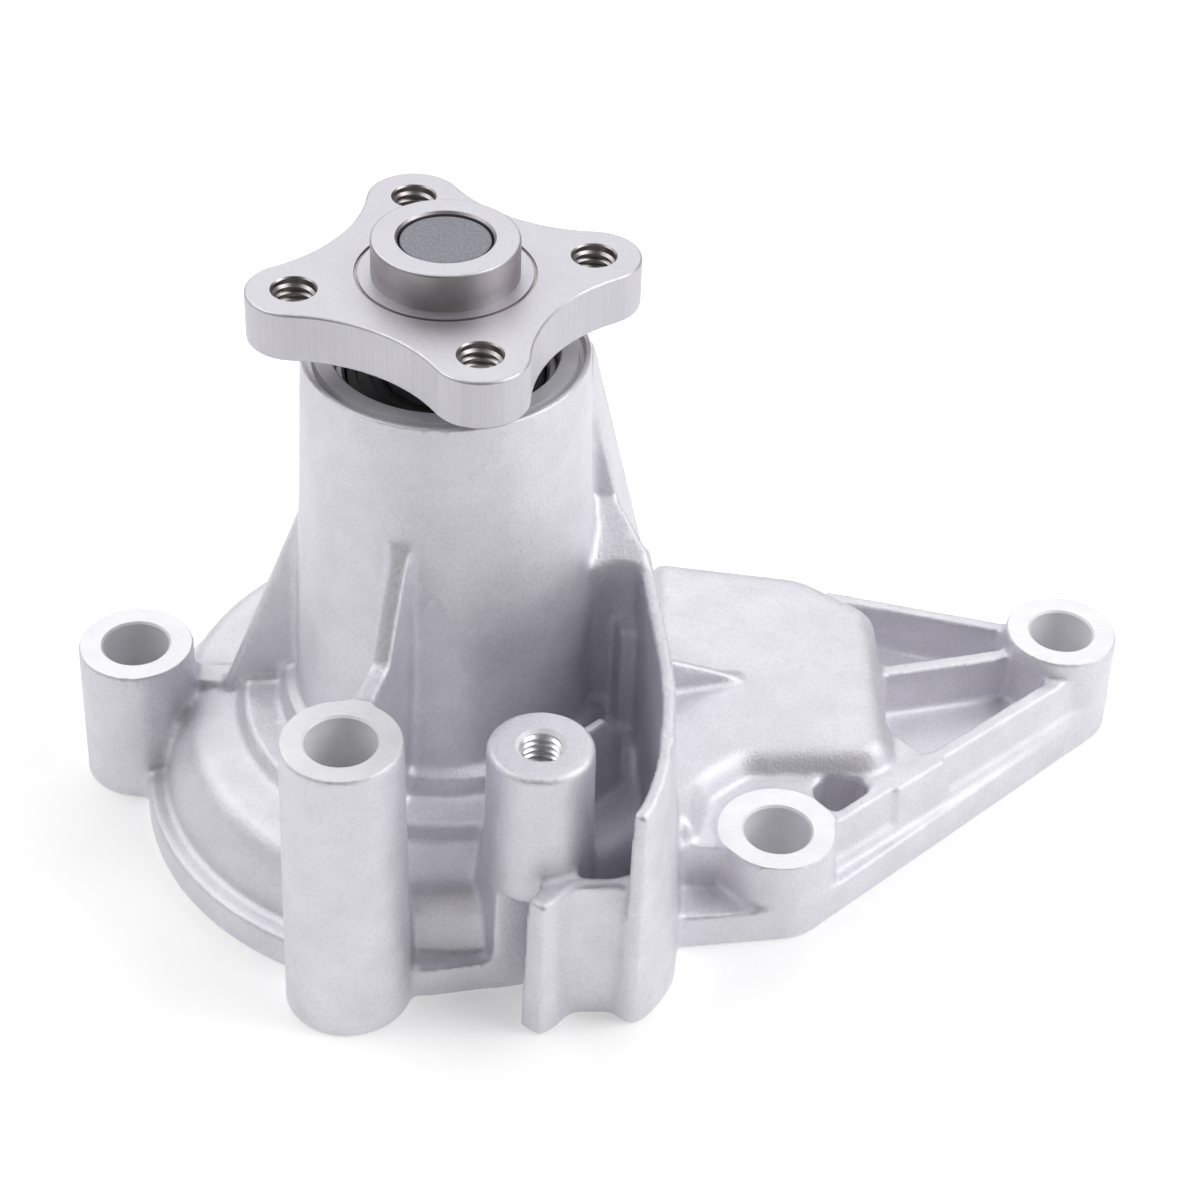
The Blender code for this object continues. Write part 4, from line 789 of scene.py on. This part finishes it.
def build_flange():
    flange = loft("pulley_flange", edge_rings(flange_outline, FLANGE_BOTTOM, FLANGE_TOP, FLANGE_EDGE))
    low = FLANGE_BOTTOM - LOWER_HUB_HEIGHT
    hub = [(0, low), (LOWER_HUB_RADIUS - HUB_EDGE, low), (LOWER_HUB_RADIUS, low + HUB_EDGE),
           (LOWER_HUB_RADIUS, FLANGE_BOTTOM + 0.0010), (HUB_RADIUS, FLANGE_BOTTOM + 0.0010)]
    hub += rounded([(HUB_RADIUS, FLANGE_TOP, 0), (HUB_RADIUS, HUB_TOP, HUB_EDGE), (0, HUB_TOP, 0)], 4)
    combine(flange, [lathe("hub", hub)], "UNION")
    inner, outer, deep = FACE_GROOVE
    groove = [(inner, FLANGE_TOP - deep), (outer, FLANGE_TOP - deep), (outer, FLANGE_TOP + deep),
              (inner, FLANGE_TOP + deep)]
    bore = [(0, low - 0.002), (SHAFT_BORE_RADIUS, low - 0.002), (SHAFT_BORE_RADIUS, HUB_TOP - 0.0003),
            (SHAFT_BORE_RADIUS + 0.0003, HUB_TOP), (SHAFT_BORE_RADIUS + 0.0003, HUB_TOP + 0.002),
            (0, HUB_TOP + 0.002)]
    holes = [hole_cutter(centre, THREAD_RADIUS, TAP_CHAMFER, FLANGE_BOTTOM - 0.002, FLANGE_TOP)
             for centre in tap_centres()]
    return combine(flange, [lathe("groove", groove), lathe("bore", bore), together("taps", holes)],
                   "DIFFERENCE")


def thread_ridge(bm, centre, bottom, top, steps=40):
    """A thread's ridge wound up the wall of a hole, running out at both ends."""
    count = round((top - bottom) / THREAD_PITCH * steps)
    run_out = steps / 3
    rows = []
    for i in range(count + 1):
        z = bottom + THREAD_PITCH * i / steps
        height = (THREAD_RADIUS - THREAD_CORE) * min(1.0, i / run_out, (count - i) / run_out)
        crest = THREAD_RADIUS - height
        root = THREAD_RADIUS + 0.00006
        row = []
        for radius, share in ((root, -0.44), (crest, -0.08), (crest, 0.08), (root, 0.44)):
            x, y = polar(radius, 2 * math.pi * i / steps)
            row.append(bm.verts.new((centre[0] + x, centre[1] + y, z + share * THREAD_PITCH)))
        rows.append(row)
    for low, high in zip(rows, rows[1:]):
        for k in range(4):
            bm.faces.new((low[k - 1], low[k], high[k], high[k - 1]))
    bm.faces.new(rows[0])
    bm.faces.new(rows[-1])


def build_threads(name, places):
    bm = bmesh.new()
    for centre, bottom, top in places:
        thread_ridge(bm, centre, bottom, top)
    return finished(name, bm)


def build_shaft():
    low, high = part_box("bearing_shaft")
    step_down = 0.0096
    shoulder = FLANGE_BOTTOM - LOWER_HUB_HEIGHT - 0.0003
    edge = 0.0005
    profile = [(0, low.z), (SHAFT_END_RADIUS - edge, low.z), (SHAFT_END_RADIUS, low.z + edge),
               (SHAFT_END_RADIUS, step_down), (SHAFT_RADIUS, step_down + edge),
               (SHAFT_RADIUS, shoulder - edge), (SHAFT_RADIUS - edge, shoulder), (SHAFT_END_RADIUS, shoulder),
               (SHAFT_END_RADIUS, SHAFT_TOP - edge),
               (SHAFT_END_RADIUS - 0.15 * edge, SHAFT_TOP - 0.4 * edge), (SHAFT_END_RADIUS - edge, SHAFT_TOP),
               (0.0016, SHAFT_TOP), (0.0013, SHAFT_TOP - 0.00005), (0, SHAFT_TOP - 0.00005)]
    return lathe("shaft_turned", profile)


def build_bearing_end():
    """The bearing's outer ring and its front seal, as the tower's mouth shows them."""
    low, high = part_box("bearing_outer_ring")
    edge = 0.0004
    ring = [(RACE_RADIUS, low.z + edge), (RACE_RADIUS + edge, low.z), (BEARING_RADIUS - edge, low.z),
            (BEARING_RADIUS, low.z + edge), (BEARING_RADIUS, high.z - edge), (BEARING_RADIUS - edge, high.z),
            (RACE_RADIUS + edge, high.z), (RACE_RADIUS, high.z - edge)]
    low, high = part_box("bearing_seal_front")
    inner, outer = SHAFT_RADIUS + SEAL_GAP, RACE_RADIUS - 0.0003
    seal = [(inner, low.z + 0.0003), (inner + 0.0004, low.z), (outer, low.z), (outer, high.z - 0.0002),
            (outer - 0.0004, high.z), (outer - 0.0012, high.z), (outer - 0.0014, high.z - 0.0003),
            (inner + 0.0019, high.z - 0.0003), (inner + 0.0016, high.z), (inner + 0.0006, high.z),
            (inner, high.z - 0.0004)]
    return lathe("bearing_ring_turned", ring), lathe("bearing_seal_moulded", seal)


def build_impeller():
    """A disc on a hub, with backward-swept vanes on the side that faces the engine block."""
    low, high = IMPELLER_DISC
    edge = 0.0004
    bore = SHAFT_BORE_RADIUS
    profile = [(bore + edge, IMPELLER_RECESS), (IMPELLER_HUB_RADIUS - edge, IMPELLER_RECESS),
               (IMPELLER_HUB_RADIUS, IMPELLER_RECESS + edge), (IMPELLER_HUB_RADIUS, low - 0.0006),
               (IMPELLER_HUB_RADIUS + 0.0006, low), (IMPELLER_RADIUS - edge, low),
               (IMPELLER_RADIUS, low + edge),
               (IMPELLER_RADIUS, high - edge), (IMPELLER_RADIUS - edge, high), (IMPELLER_HUB_RADIUS, high),
               (IMPELLER_HUB_RADIUS, IMPELLER_TOP - edge), (IMPELLER_HUB_RADIUS - edge, IMPELLER_TOP),
               (bore, IMPELLER_TOP), (bore, IMPELLER_RECESS + edge)]
    impeller = lathe("impeller_vaned", profile)
    root, tip = IMPELLER_HUB_RADIUS - 0.0008, IMPELLER_RADIUS - 0.0005
    for number in range(VANE_COUNT):
        start = number * 2 * math.pi / VANE_COUNT
        shares = [step / 16 for step in range(17)]
        line = [Vector(polar(root + (tip - root) * t, start - VANE_SWEEP * t**1.2)) for t in shares]

        def outline(margin, line=line):
            half = VANE_THICKNESS / 2 - margin
            return ribbon(line, half, half)

        rings = edge_rings(outline, IMPELLER_RECESS + 0.0002, low + 0.0006, 0.0003, 2)[:4]
        rings.append(level(outline(0), low + 0.0006))
        combine(impeller, [loft("vane", rings)], "UNION")
    return impeller


# Materials


class Finish:
    """A node material whose colour, roughness and relief come from patterns in the piece's own space."""

    def __init__(self, name, metallic):
        self.material = bpy.data.materials.new(name)
        self.material.use_nodes = True
        self.tree = self.material.node_tree
        self.shader = self.tree.nodes["Principled BSDF"]
        self.shader.inputs["Metallic"].default_value = metallic
        self.place = self.tree.nodes.new("ShaderNodeTexCoord").outputs["Object"]
        self.normal = None

    def node(self, kind, **inputs):
        node = self.tree.nodes.new(kind)
        for name, value in inputs.items():
            self.feed(node.inputs[name.replace("_", " ")], value)
        return node

    def feed(self, socket, value):
        if isinstance(value, bpy.types.NodeSocket):
            self.tree.links.new(value, socket)
        else:
            socket.default_value = value

    def maths(self, operation, first, second):
        node = self.tree.nodes.new("ShaderNodeMath")
        node.operation = operation
        self.feed(node.inputs[0], first)
        self.feed(node.inputs[1], second)
        return node.outputs["Value"]

    def noise(self, size, detail, stretch=None, roughness=0.5):
        """Noise with features of about this size in metres, drawn out along an axis by a stretch."""
        place = self.place
        if stretch:
            mapping = self.node("ShaderNodeMapping", Vector=place)
            mapping.inputs["Scale"].default_value = [1 / s for s in stretch]
            place = mapping.outputs["Vector"]
        noise = self.node("ShaderNodeTexNoise", Vector=place, Scale=1 / size, Detail=detail,
                          Roughness=roughness)
        return noise.outputs["Fac"]

    def rings(self, size):
        """Turning marks: rings round the shaft on flat faces, and bands along it on round ones."""
        parts = self.node("ShaderNodeSeparateXYZ", Vector=self.place).outputs
        flat = self.node("ShaderNodeCombineXYZ", X=parts["X"], Y=parts["Y"]).outputs["Vector"]
        length = self.tree.nodes.new("ShaderNodeVectorMath")
        length.operation = "LENGTH"
        self.feed(length.inputs[0], flat)
        total = self.maths("ADD", length.outputs["Value"], parts["Z"])
        noise = self.tree.nodes.new("ShaderNodeTexNoise")
        noise.noise_dimensions = "1D"
        self.feed(noise.inputs["W"], total)
        self.feed(noise.inputs["Scale"], 1 / size)
        self.feed(noise.inputs["Detail"], 2.0)
        return noise.outputs["Fac"]

    def ramp(self, value, *stops):
        node = self.node("ShaderNodeValToRGB", Fac=value)
        points = node.color_ramp.elements
        while len(points) < len(stops):
            points.new(0.5)
        for point, (at, colour) in zip(points, stops):
            point.position = at
            point.color = (*colour, 1.0)
        return node.outputs["Color"]

    def tones(self, value, colour, dark, light):
        """The colour, from a darker to a lighter shade as the value rises."""
        return self.ramp(value, (0.3, shade(colour, dark)), (0.7, shade(colour, light)))

    def spread(self, value, low, high):
        node = self.node("ShaderNodeMapRange", Value=value, From_Min=0.3, From_Max=0.7, To_Min=low,
                         To_Max=high)
        return node.outputs["Result"]

    def multiplied(self, first, second):
        node = self.tree.nodes.new("ShaderNodeMix")
        node.data_type = "RGBA"
        node.blend_type = "MULTIPLY"
        self.feed(node.inputs["Factor"], 1.0)
        self.feed(node.inputs[6], first)
        self.feed(node.inputs[7], second)
        return node.outputs[2]

    def relief(self, height, strength, distance):
        bump = self.node("ShaderNodeBump", Height=height, Strength=strength, Distance=distance)
        if self.normal:
            self.feed(bump.inputs["Normal"], self.normal)
        self.normal = bump.outputs["Normal"]

    def done(self, colour, roughness):
        self.feed(self.shader.inputs["Base Color"], colour)
        self.feed(self.shader.inputs["Roughness"], roughness)
        if self.normal:
            self.feed(self.shader.inputs["Normal"], self.normal)
        return self.material


def shade(colour, factor):
    return tuple(min(part * factor, 1.0) for part in colour)


def cast_finish(name, colour):
    """Die-cast skin: sandy grain over faint blotches."""
    look = Finish(name, 0.85)
    grain = look.noise(0.00045, 3.0, roughness=0.7)
    blotch = look.noise(0.0050, 3.0)
    tone = look.tones(blotch, colour, 0.96, 1.04)
    speck = look.ramp(grain, (0.34, (0.88, 0.88, 0.89)), (0.50, (0.97, 0.97, 0.97)), (0.66, (1.0, 1.0, 1.0)))
    look.relief(look.noise(0.0030, 2.0), 0.20, 0.00010)
    look.relief(grain, 0.70, 0.00012)
    return look.done(look.multiplied(tone, speck), look.spread(grain, 0.50, 0.64))


def machined_finish(name, colour, roughness):
    """Faced metal with fine tool marks one way."""
    look = Finish(name, 0.75)
    marks = look.noise(0.00025, 2.0, stretch=(5.0, 1.0, 1.0))
    cloud = look.noise(0.004, 2.0)
    tone = look.tones(cloud, colour, 0.97, 1.03)
    line = look.ramp(marks, (0.30, (0.95, 0.95, 0.955)), (0.55, (1.0, 1.0, 1.0)))
    look.relief(marks, 0.20, 0.00004)
    return look.done(look.multiplied(tone, line), look.spread(marks, roughness - 0.05, roughness + 0.08))


def turned_finish(name, colour, roughness, metallic=0.95, size=0.00018, depth=0.00003):
    """Lathe-turned metal with rings round the shaft."""
    look = Finish(name, metallic)
    rings = look.rings(size)
    cloud = look.noise(0.003, 3.0)
    tone = look.tones(cloud, colour, 0.96, 1.03)
    line = look.ramp(rings, (0.30, (0.93, 0.93, 0.93)), (0.60, (1.0, 1.0, 1.0)))
    look.relief(rings, 0.25, depth)
    return look.done(look.multiplied(tone, line), look.spread(cloud, roughness - 0.05, roughness + 0.07))


def pressed_finish(name, colour, roughness):
    """Pressed steel: a fine matt grain, with streaks up its sheared sides."""
    look = Finish(name, 0.90)
    streak = look.noise(0.00050, 2.0, stretch=(1.0, 1.0, 24.0))
    grain = look.noise(0.00025, 2.0)
    cloud = look.noise(0.006, 2.0)
    tone = look.tones(cloud, colour, 0.985, 1.015)
    line = look.ramp(streak, (0.32, (0.955, 0.955, 0.955)), (0.58, (1.0, 1.0, 1.0)))
    look.relief(streak, 0.12, 0.00005)
    look.relief(grain, 0.15, 0.00003)
    return look.done(look.multiplied(tone, line), look.spread(grain, roughness - 0.06, roughness + 0.08))


def moulded_finish(name, colour, roughness, size=0.0008):
    """Rubber, plastic, carbon or ceramic: a soft mottle and a slight orange-peel relief."""
    look = Finish(name, 0.0)
    mottle = look.noise(size, 3.0)
    tone = look.tones(mottle, colour, 0.85, 1.15)
    look.relief(mottle, 0.2, 0.00004)
    return look.done(tone, look.spread(mottle, roughness - 0.06, roughness + 0.06))


def speckled_finish(name, colour, roughness, metallic):
    """Dull hardened steel, flecked light and dark."""
    look = Finish(name, metallic)
    fleck = look.noise(0.00040, 3.0, roughness=0.7)
    tone = look.ramp(fleck, (0.32, shade(colour, 0.72)), (0.50, colour), (0.68, shade(colour, 1.30)))
    look.relief(fleck, 0.30, 0.00006)
    return look.done(tone, look.spread(fleck, roughness - 0.06, roughness + 0.06))


CAST_COLOUR = (0.805, 0.795, 0.840)
MACHINED_COLOUR = (0.88, 0.875, 0.90)
STEEL_COLOUR = (0.60, 0.59, 0.63)
# The hub colour is darker than the flange's: partly the turned steel's own tone, partly painted shade on the hub's
# sides and in the face groove round it.
HUB_AND_SHADE_COLOUR = (0.40, 0.375, 0.39)
SHAFT_COLOUR = (0.25, 0.25, 0.285)

cast_skin = cast_finish("cast_skin", CAST_COLOUR)
faced = machined_finish("faced_aluminium", MACHINED_COLOUR, 0.50)
bored = turned_finish("bored_aluminium", MACHINED_COLOUR, 0.55, 0.2)
flange_steel = pressed_finish("flange_pressed", STEEL_COLOUR, 0.46)
hub_steel_and_painted_shade = turned_finish("hub_turned_and_painted_shade", HUB_AND_SHADE_COLOUR, 0.42)
thread_steel = turned_finish("thread_cut", (0.36, 0.335, 0.33), 0.32)
thread_light = turned_finish("thread_cut_light", MACHINED_COLOUR, 0.32)
shaft_dark = speckled_finish("shaft_dull", SHAFT_COLOUR, 0.55, 0.6)
bearing_bright = turned_finish("bearing_ground", (0.36, 0.36, 0.37), 0.42)
rubber = moulded_finish("rubber_black", (0.018, 0.018, 0.020), 0.55)
cage_plastic = moulded_finish("cage_moulded", (0.72, 0.66, 0.50), 0.50)
brass = turned_finish("brass_drawn", (0.72, 0.53, 0.28), 0.34)
carbon = moulded_finish("carbon_lapped", (0.05, 0.05, 0.055), 0.40, 0.0004)
ceramic = moulded_finish("ceramic_lapped", (0.78, 0.76, 0.70), 0.28)
impeller_steel = pressed_finish("impeller_pressed", (0.50, 0.49, 0.48), 0.40)


def dress(obj, body, slot, replaced, *materials, sharp=math.radians(32)):
    """Shades a new piece and says what it stands for."""
    obj.data.materials.clear()
    for material in materials:
        obj.data.materials.append(material)
    obj.data.shade_smooth()
    obj.data.set_sharp_from_angle(angle=sharp)
    evened = obj.modifiers.new("evened", "WEIGHTED_NORMAL")
    evened.keep_sharp = True
    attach(obj, body)
    if replaced:
        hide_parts(replaced)
    return obj


def face_table(mesh):
    count = len(mesh.polygons)
    centres, normals = np.zeros(count * 3, np.float32), np.zeros(count * 3, np.float32)
    mesh.polygons.foreach_get("center", centres)
    mesh.polygons.foreach_get("normal", normals)
    return centres.reshape(-1, 3), normals.reshape(-1, 3)


LEVEL_SLACK = 0.00002
MARK_SLACK = 0.0001
ROUND_SLACK = 0.0002
THREAD_INSET = 0.0006
THREAD_FOOT_INSET = 0.0004


def mark_casting(obj):
    """Gives the faced and bored surfaces their own materials."""
    centres, normals = face_table(obj.data)
    x, y, z = centres.T
    kind = np.zeros(len(centres), np.int32)
    up = normals[:, 2] > 0.98
    for (cx, cy), height, radius in BOLT_BOSSES:
        away = np.hypot(x - cx, y - cy)
        kind[up & (np.abs(z - height) < LEVEL_SLACK) & (away < radius + FACING_REACH)] = 1
        kind[(away < BOLT_HOLE_RADIUS + BOLT_HOLE_CHAMFER) & (z < height - LEVEL_SLACK)] = 2
    away = np.hypot(x - TAPPED_BOSS[0][0], y - TAPPED_BOSS[0][1])
    kind[(away < THREAD_RADIUS + BOSS_TAP_CHAMFER) & (z > TAPPED_BOSS[1] - TAP_DEPTH - 0.001)
         & (z < TAPPED_BOSS[1])] = 2
    away = np.hypot(x, y)
    kind[(z > TOWER_TOP - RIM_GROOVE[2] - MARK_SLACK) & (away < TOWER_RADIUS - RIM_EDGE)] = 1
    kind[(z > SEAT_HEIGHT - 0.001) & (z < TOWER_TOP - MOUTH_EDGE)
         & (away < np.where(z > BEARING_SEAT, BEARING_BORE_RADIUS, SEAT_RADIUS) + ROUND_SLACK)] = 2
    kind[(normals[:, 2] < -0.98) & (z < MARK_SLACK)] = 1
    obj.data.polygons.foreach_set("material_index", kind)


def mark_flange(obj):
    centres, normals = face_table(obj.data)
    x, y, z = centres.T
    away = np.hypot(x, y)
    kind = np.zeros(len(centres), np.int32)
    # Hub sides take the darker hub colour while the top keeps the flange's: painted shade on the sides, partly the
    # hub's own turned tone.
    kind[(away < HUB_RADIUS + ROUND_SLACK) & (z > FLANGE_TOP + MARK_SLACK) & (normals[:, 2] < 0.8)] = 1
    # The shallow face groove round the hub takes the same dark colour: painted shade in the groove.
    kind[(away > FACE_GROOVE[0] - MARK_SLACK) & (away < FACE_GROOVE[1] + MARK_SLACK)
         & (z < FLANGE_TOP - MARK_SLACK) & (z > FLANGE_TOP - FACE_GROOVE[2] - MARK_SLACK)] = 1
    kind[(away < LOWER_HUB_RADIUS + ROUND_SLACK) & (z < FLANGE_BOTTOM - MARK_SLACK)] = 1
    steep = np.abs(normals[:, 2]) < 0.9
    kind[steep & (away < SHAFT_BORE_RADIUS + 0.0004)] = 1
    for cx, cy in tap_centres():
        kind[steep & (np.hypot(x - cx, y - cy) < THREAD_RADIUS + TAP_CHAMFER)] = 2
    obj.data.polygons.foreach_set("material_index", kind)


casting = dress(build_casting(), "housing", "cast_aluminium", "pump_body", cast_skin, faced, bored)
mark_casting(casting)
flange = dress(build_flange(), "rotor", "flange_steel", "drive_flange", flange_steel, hub_steel_and_painted_shade, thread_steel)
mark_flange(flange)
taps = [(centre, FLANGE_BOTTOM + THREAD_FOOT_INSET, FLANGE_TOP - THREAD_INSET) for centre in tap_centres()]
dress(build_threads("flange_threads", taps), "rotor", "flange_steel", None, thread_steel)
tapped = [(TAPPED_BOSS[0], TAPPED_BOSS[1] - TAP_DEPTH + THREAD_INSET, TAPPED_BOSS[1] - THREAD_INSET)]
dress(build_threads("boss_thread", tapped), "housing", "cast_aluminium", None, thread_light)
dress(build_shaft(), "rotor", "shaft_steel", "bearing_shaft", shaft_dark)
ring, seal = build_bearing_end()
dress(ring, "housing", "bearing_steel", "bearing_outer_ring", bearing_bright)
dress(seal, "housing", "black_rubber", "bearing_seal_front", rubber)
dress(build_impeller(), "rotor", "impeller_steel", "impeller", impeller_steel)

carried = {"bearing_seal_rear": rubber, "ball_cage": cage_plastic, "roller_cage": cage_plastic,
           "seal_cup": brass, "seal_bellows": rubber, "seal_spring": bearing_bright, "carbon_ring": carbon,
           "mating_ring": ceramic, "mating_ring_boot": rubber}
for number in range(1, 9):
    carried[f"ball_{number}"] = bearing_bright
    carried[f"roller_{number}"] = bearing_bright
for name, material in carried.items():
    nodes[name].data.materials.clear()
    nodes[name].data.materials.append(material)


# Studio

scene = bpy.context.scene
scene.view_settings.view_transform = "Standard"

PITCH, ROLL = math.radians(38.3), math.radians(2.43)
CAMERA_PLACE = (0.02187, -0.30554, 0.27701)
SENSOR_WIDTH = 36
FOCAL_LENGTH = 82.12
forward = Vector((0, math.cos(PITCH), -math.sin(PITCH)))
upward = Vector((0, math.sin(PITCH), math.cos(PITCH)))
sideways = Vector((1, 0, 0))
right = sideways * math.cos(ROLL) + upward * math.sin(ROLL)
top = upward * math.cos(ROLL) - sideways * math.sin(ROLL)
lens = bpy.data.cameras.new("camera")
lens.sensor_width = SENSOR_WIDTH
lens.lens = FOCAL_LENGTH
lens.clip_start = 0.01
camera = linked("camera", lens)
camera.matrix_world = Matrix.Translation(CAMERA_PLACE) @ Matrix((right, top, -forward)).transposed().to_4x4()
scene.camera = camera


def lamp(name, place, target, size, brightness):
    """A soft box of this size in metres that glows with this brightness."""
    data = bpy.data.lights.new(name, "AREA")
    data.shape = "RECTANGLE"
    data.size, data.size_y = size
    data.energy = brightness * math.pi * size[0] * size[1]
    obj = linked(name, data)
    obj.location = place
    obj.rotation_euler = (Vector(target) - Vector(place)).to_track_quat("-Z", "Y").to_euler()


MIDDLE = (0.02, 0.0, 0.03)
WORLD_STRENGTH = 0.13
LAMPS = (("back", (0.05, 0.80, 0.75), (1.00, 0.70), 1.6),
         ("back_left", (-0.65, 0.60, 0.65), (0.60, 0.60), 1.7),
         ("top_left", (-0.50, 0.05, 0.85), (0.50, 0.60), 2.5),
         ("top_right", (0.60, 0.05, 0.85), (0.50, 0.60), 3.7),
         ("right", (0.80, -0.20, 0.60), (0.60, 0.60), 2.1),
         ("low_right", (0.95, -0.20, 0.25), (0.60, 0.45), 1.3),
         ("left", (-0.80, -0.15, 0.60), (0.60, 0.60), 1.35))
for name, place, size, brightness in LAMPS:
    lamp(name, place, MIDDLE, size, brightness)

world = bpy.data.worlds.new("studio")
scene.world = world
world.use_nodes = True
world.node_tree.nodes["Background"].inputs["Color"].default_value = (1, 1, 1, 1)
world.node_tree.nodes["Background"].inputs["Strength"].default_value = WORLD_STRENGTH


FLOOR_HALF = 6
FLOOR_DROP = 0.0003
FLOOR_COLOUR = (0.82, 0.82, 0.82, 1)
FLOOR_ROUGHNESS = 0.9
FLOOR_GLOW = 0.34


def build_floor():
    """A sheet of paper that glows a little where the camera or a gloss sees it."""
    corners = [(x * FLOOR_HALF, y * FLOOR_HALF, 0) for x, y in ((-1, -1), (1, -1), (1, 1), (-1, 1))]
    floor = mesh_object("floor", corners, [(0, 1, 2, 3)])
    floor.location.z = -FLOOR_DROP
    paper = Finish("floor_paper", 0.0)
    paper.shader.inputs["Specular IOR Level"].default_value = 0.0
    floor.data.materials.append(paper.done(FLOOR_COLOUR, FLOOR_ROUGHNESS))
    path = paper.node("ShaderNodeLightPath").outputs
    seen = path["Is Camera Ray"]
    for other in ("Is Glossy Ray", "Is Transmission Ray"):
        seen = paper.maths("MAXIMUM", seen, path[other])
    glow = paper.node("ShaderNodeEmission", Strength=paper.maths("MULTIPLY", seen, FLOOR_GLOW))
    both = paper.node("ShaderNodeAddShader")
    paper.feed(both.inputs[0], paper.shader.outputs["BSDF"])
    paper.feed(both.inputs[1], glow.outputs["Emission"])
    paper.feed(paper.tree.nodes["Material Output"].inputs["Surface"], both.outputs["Shader"])


build_floor()
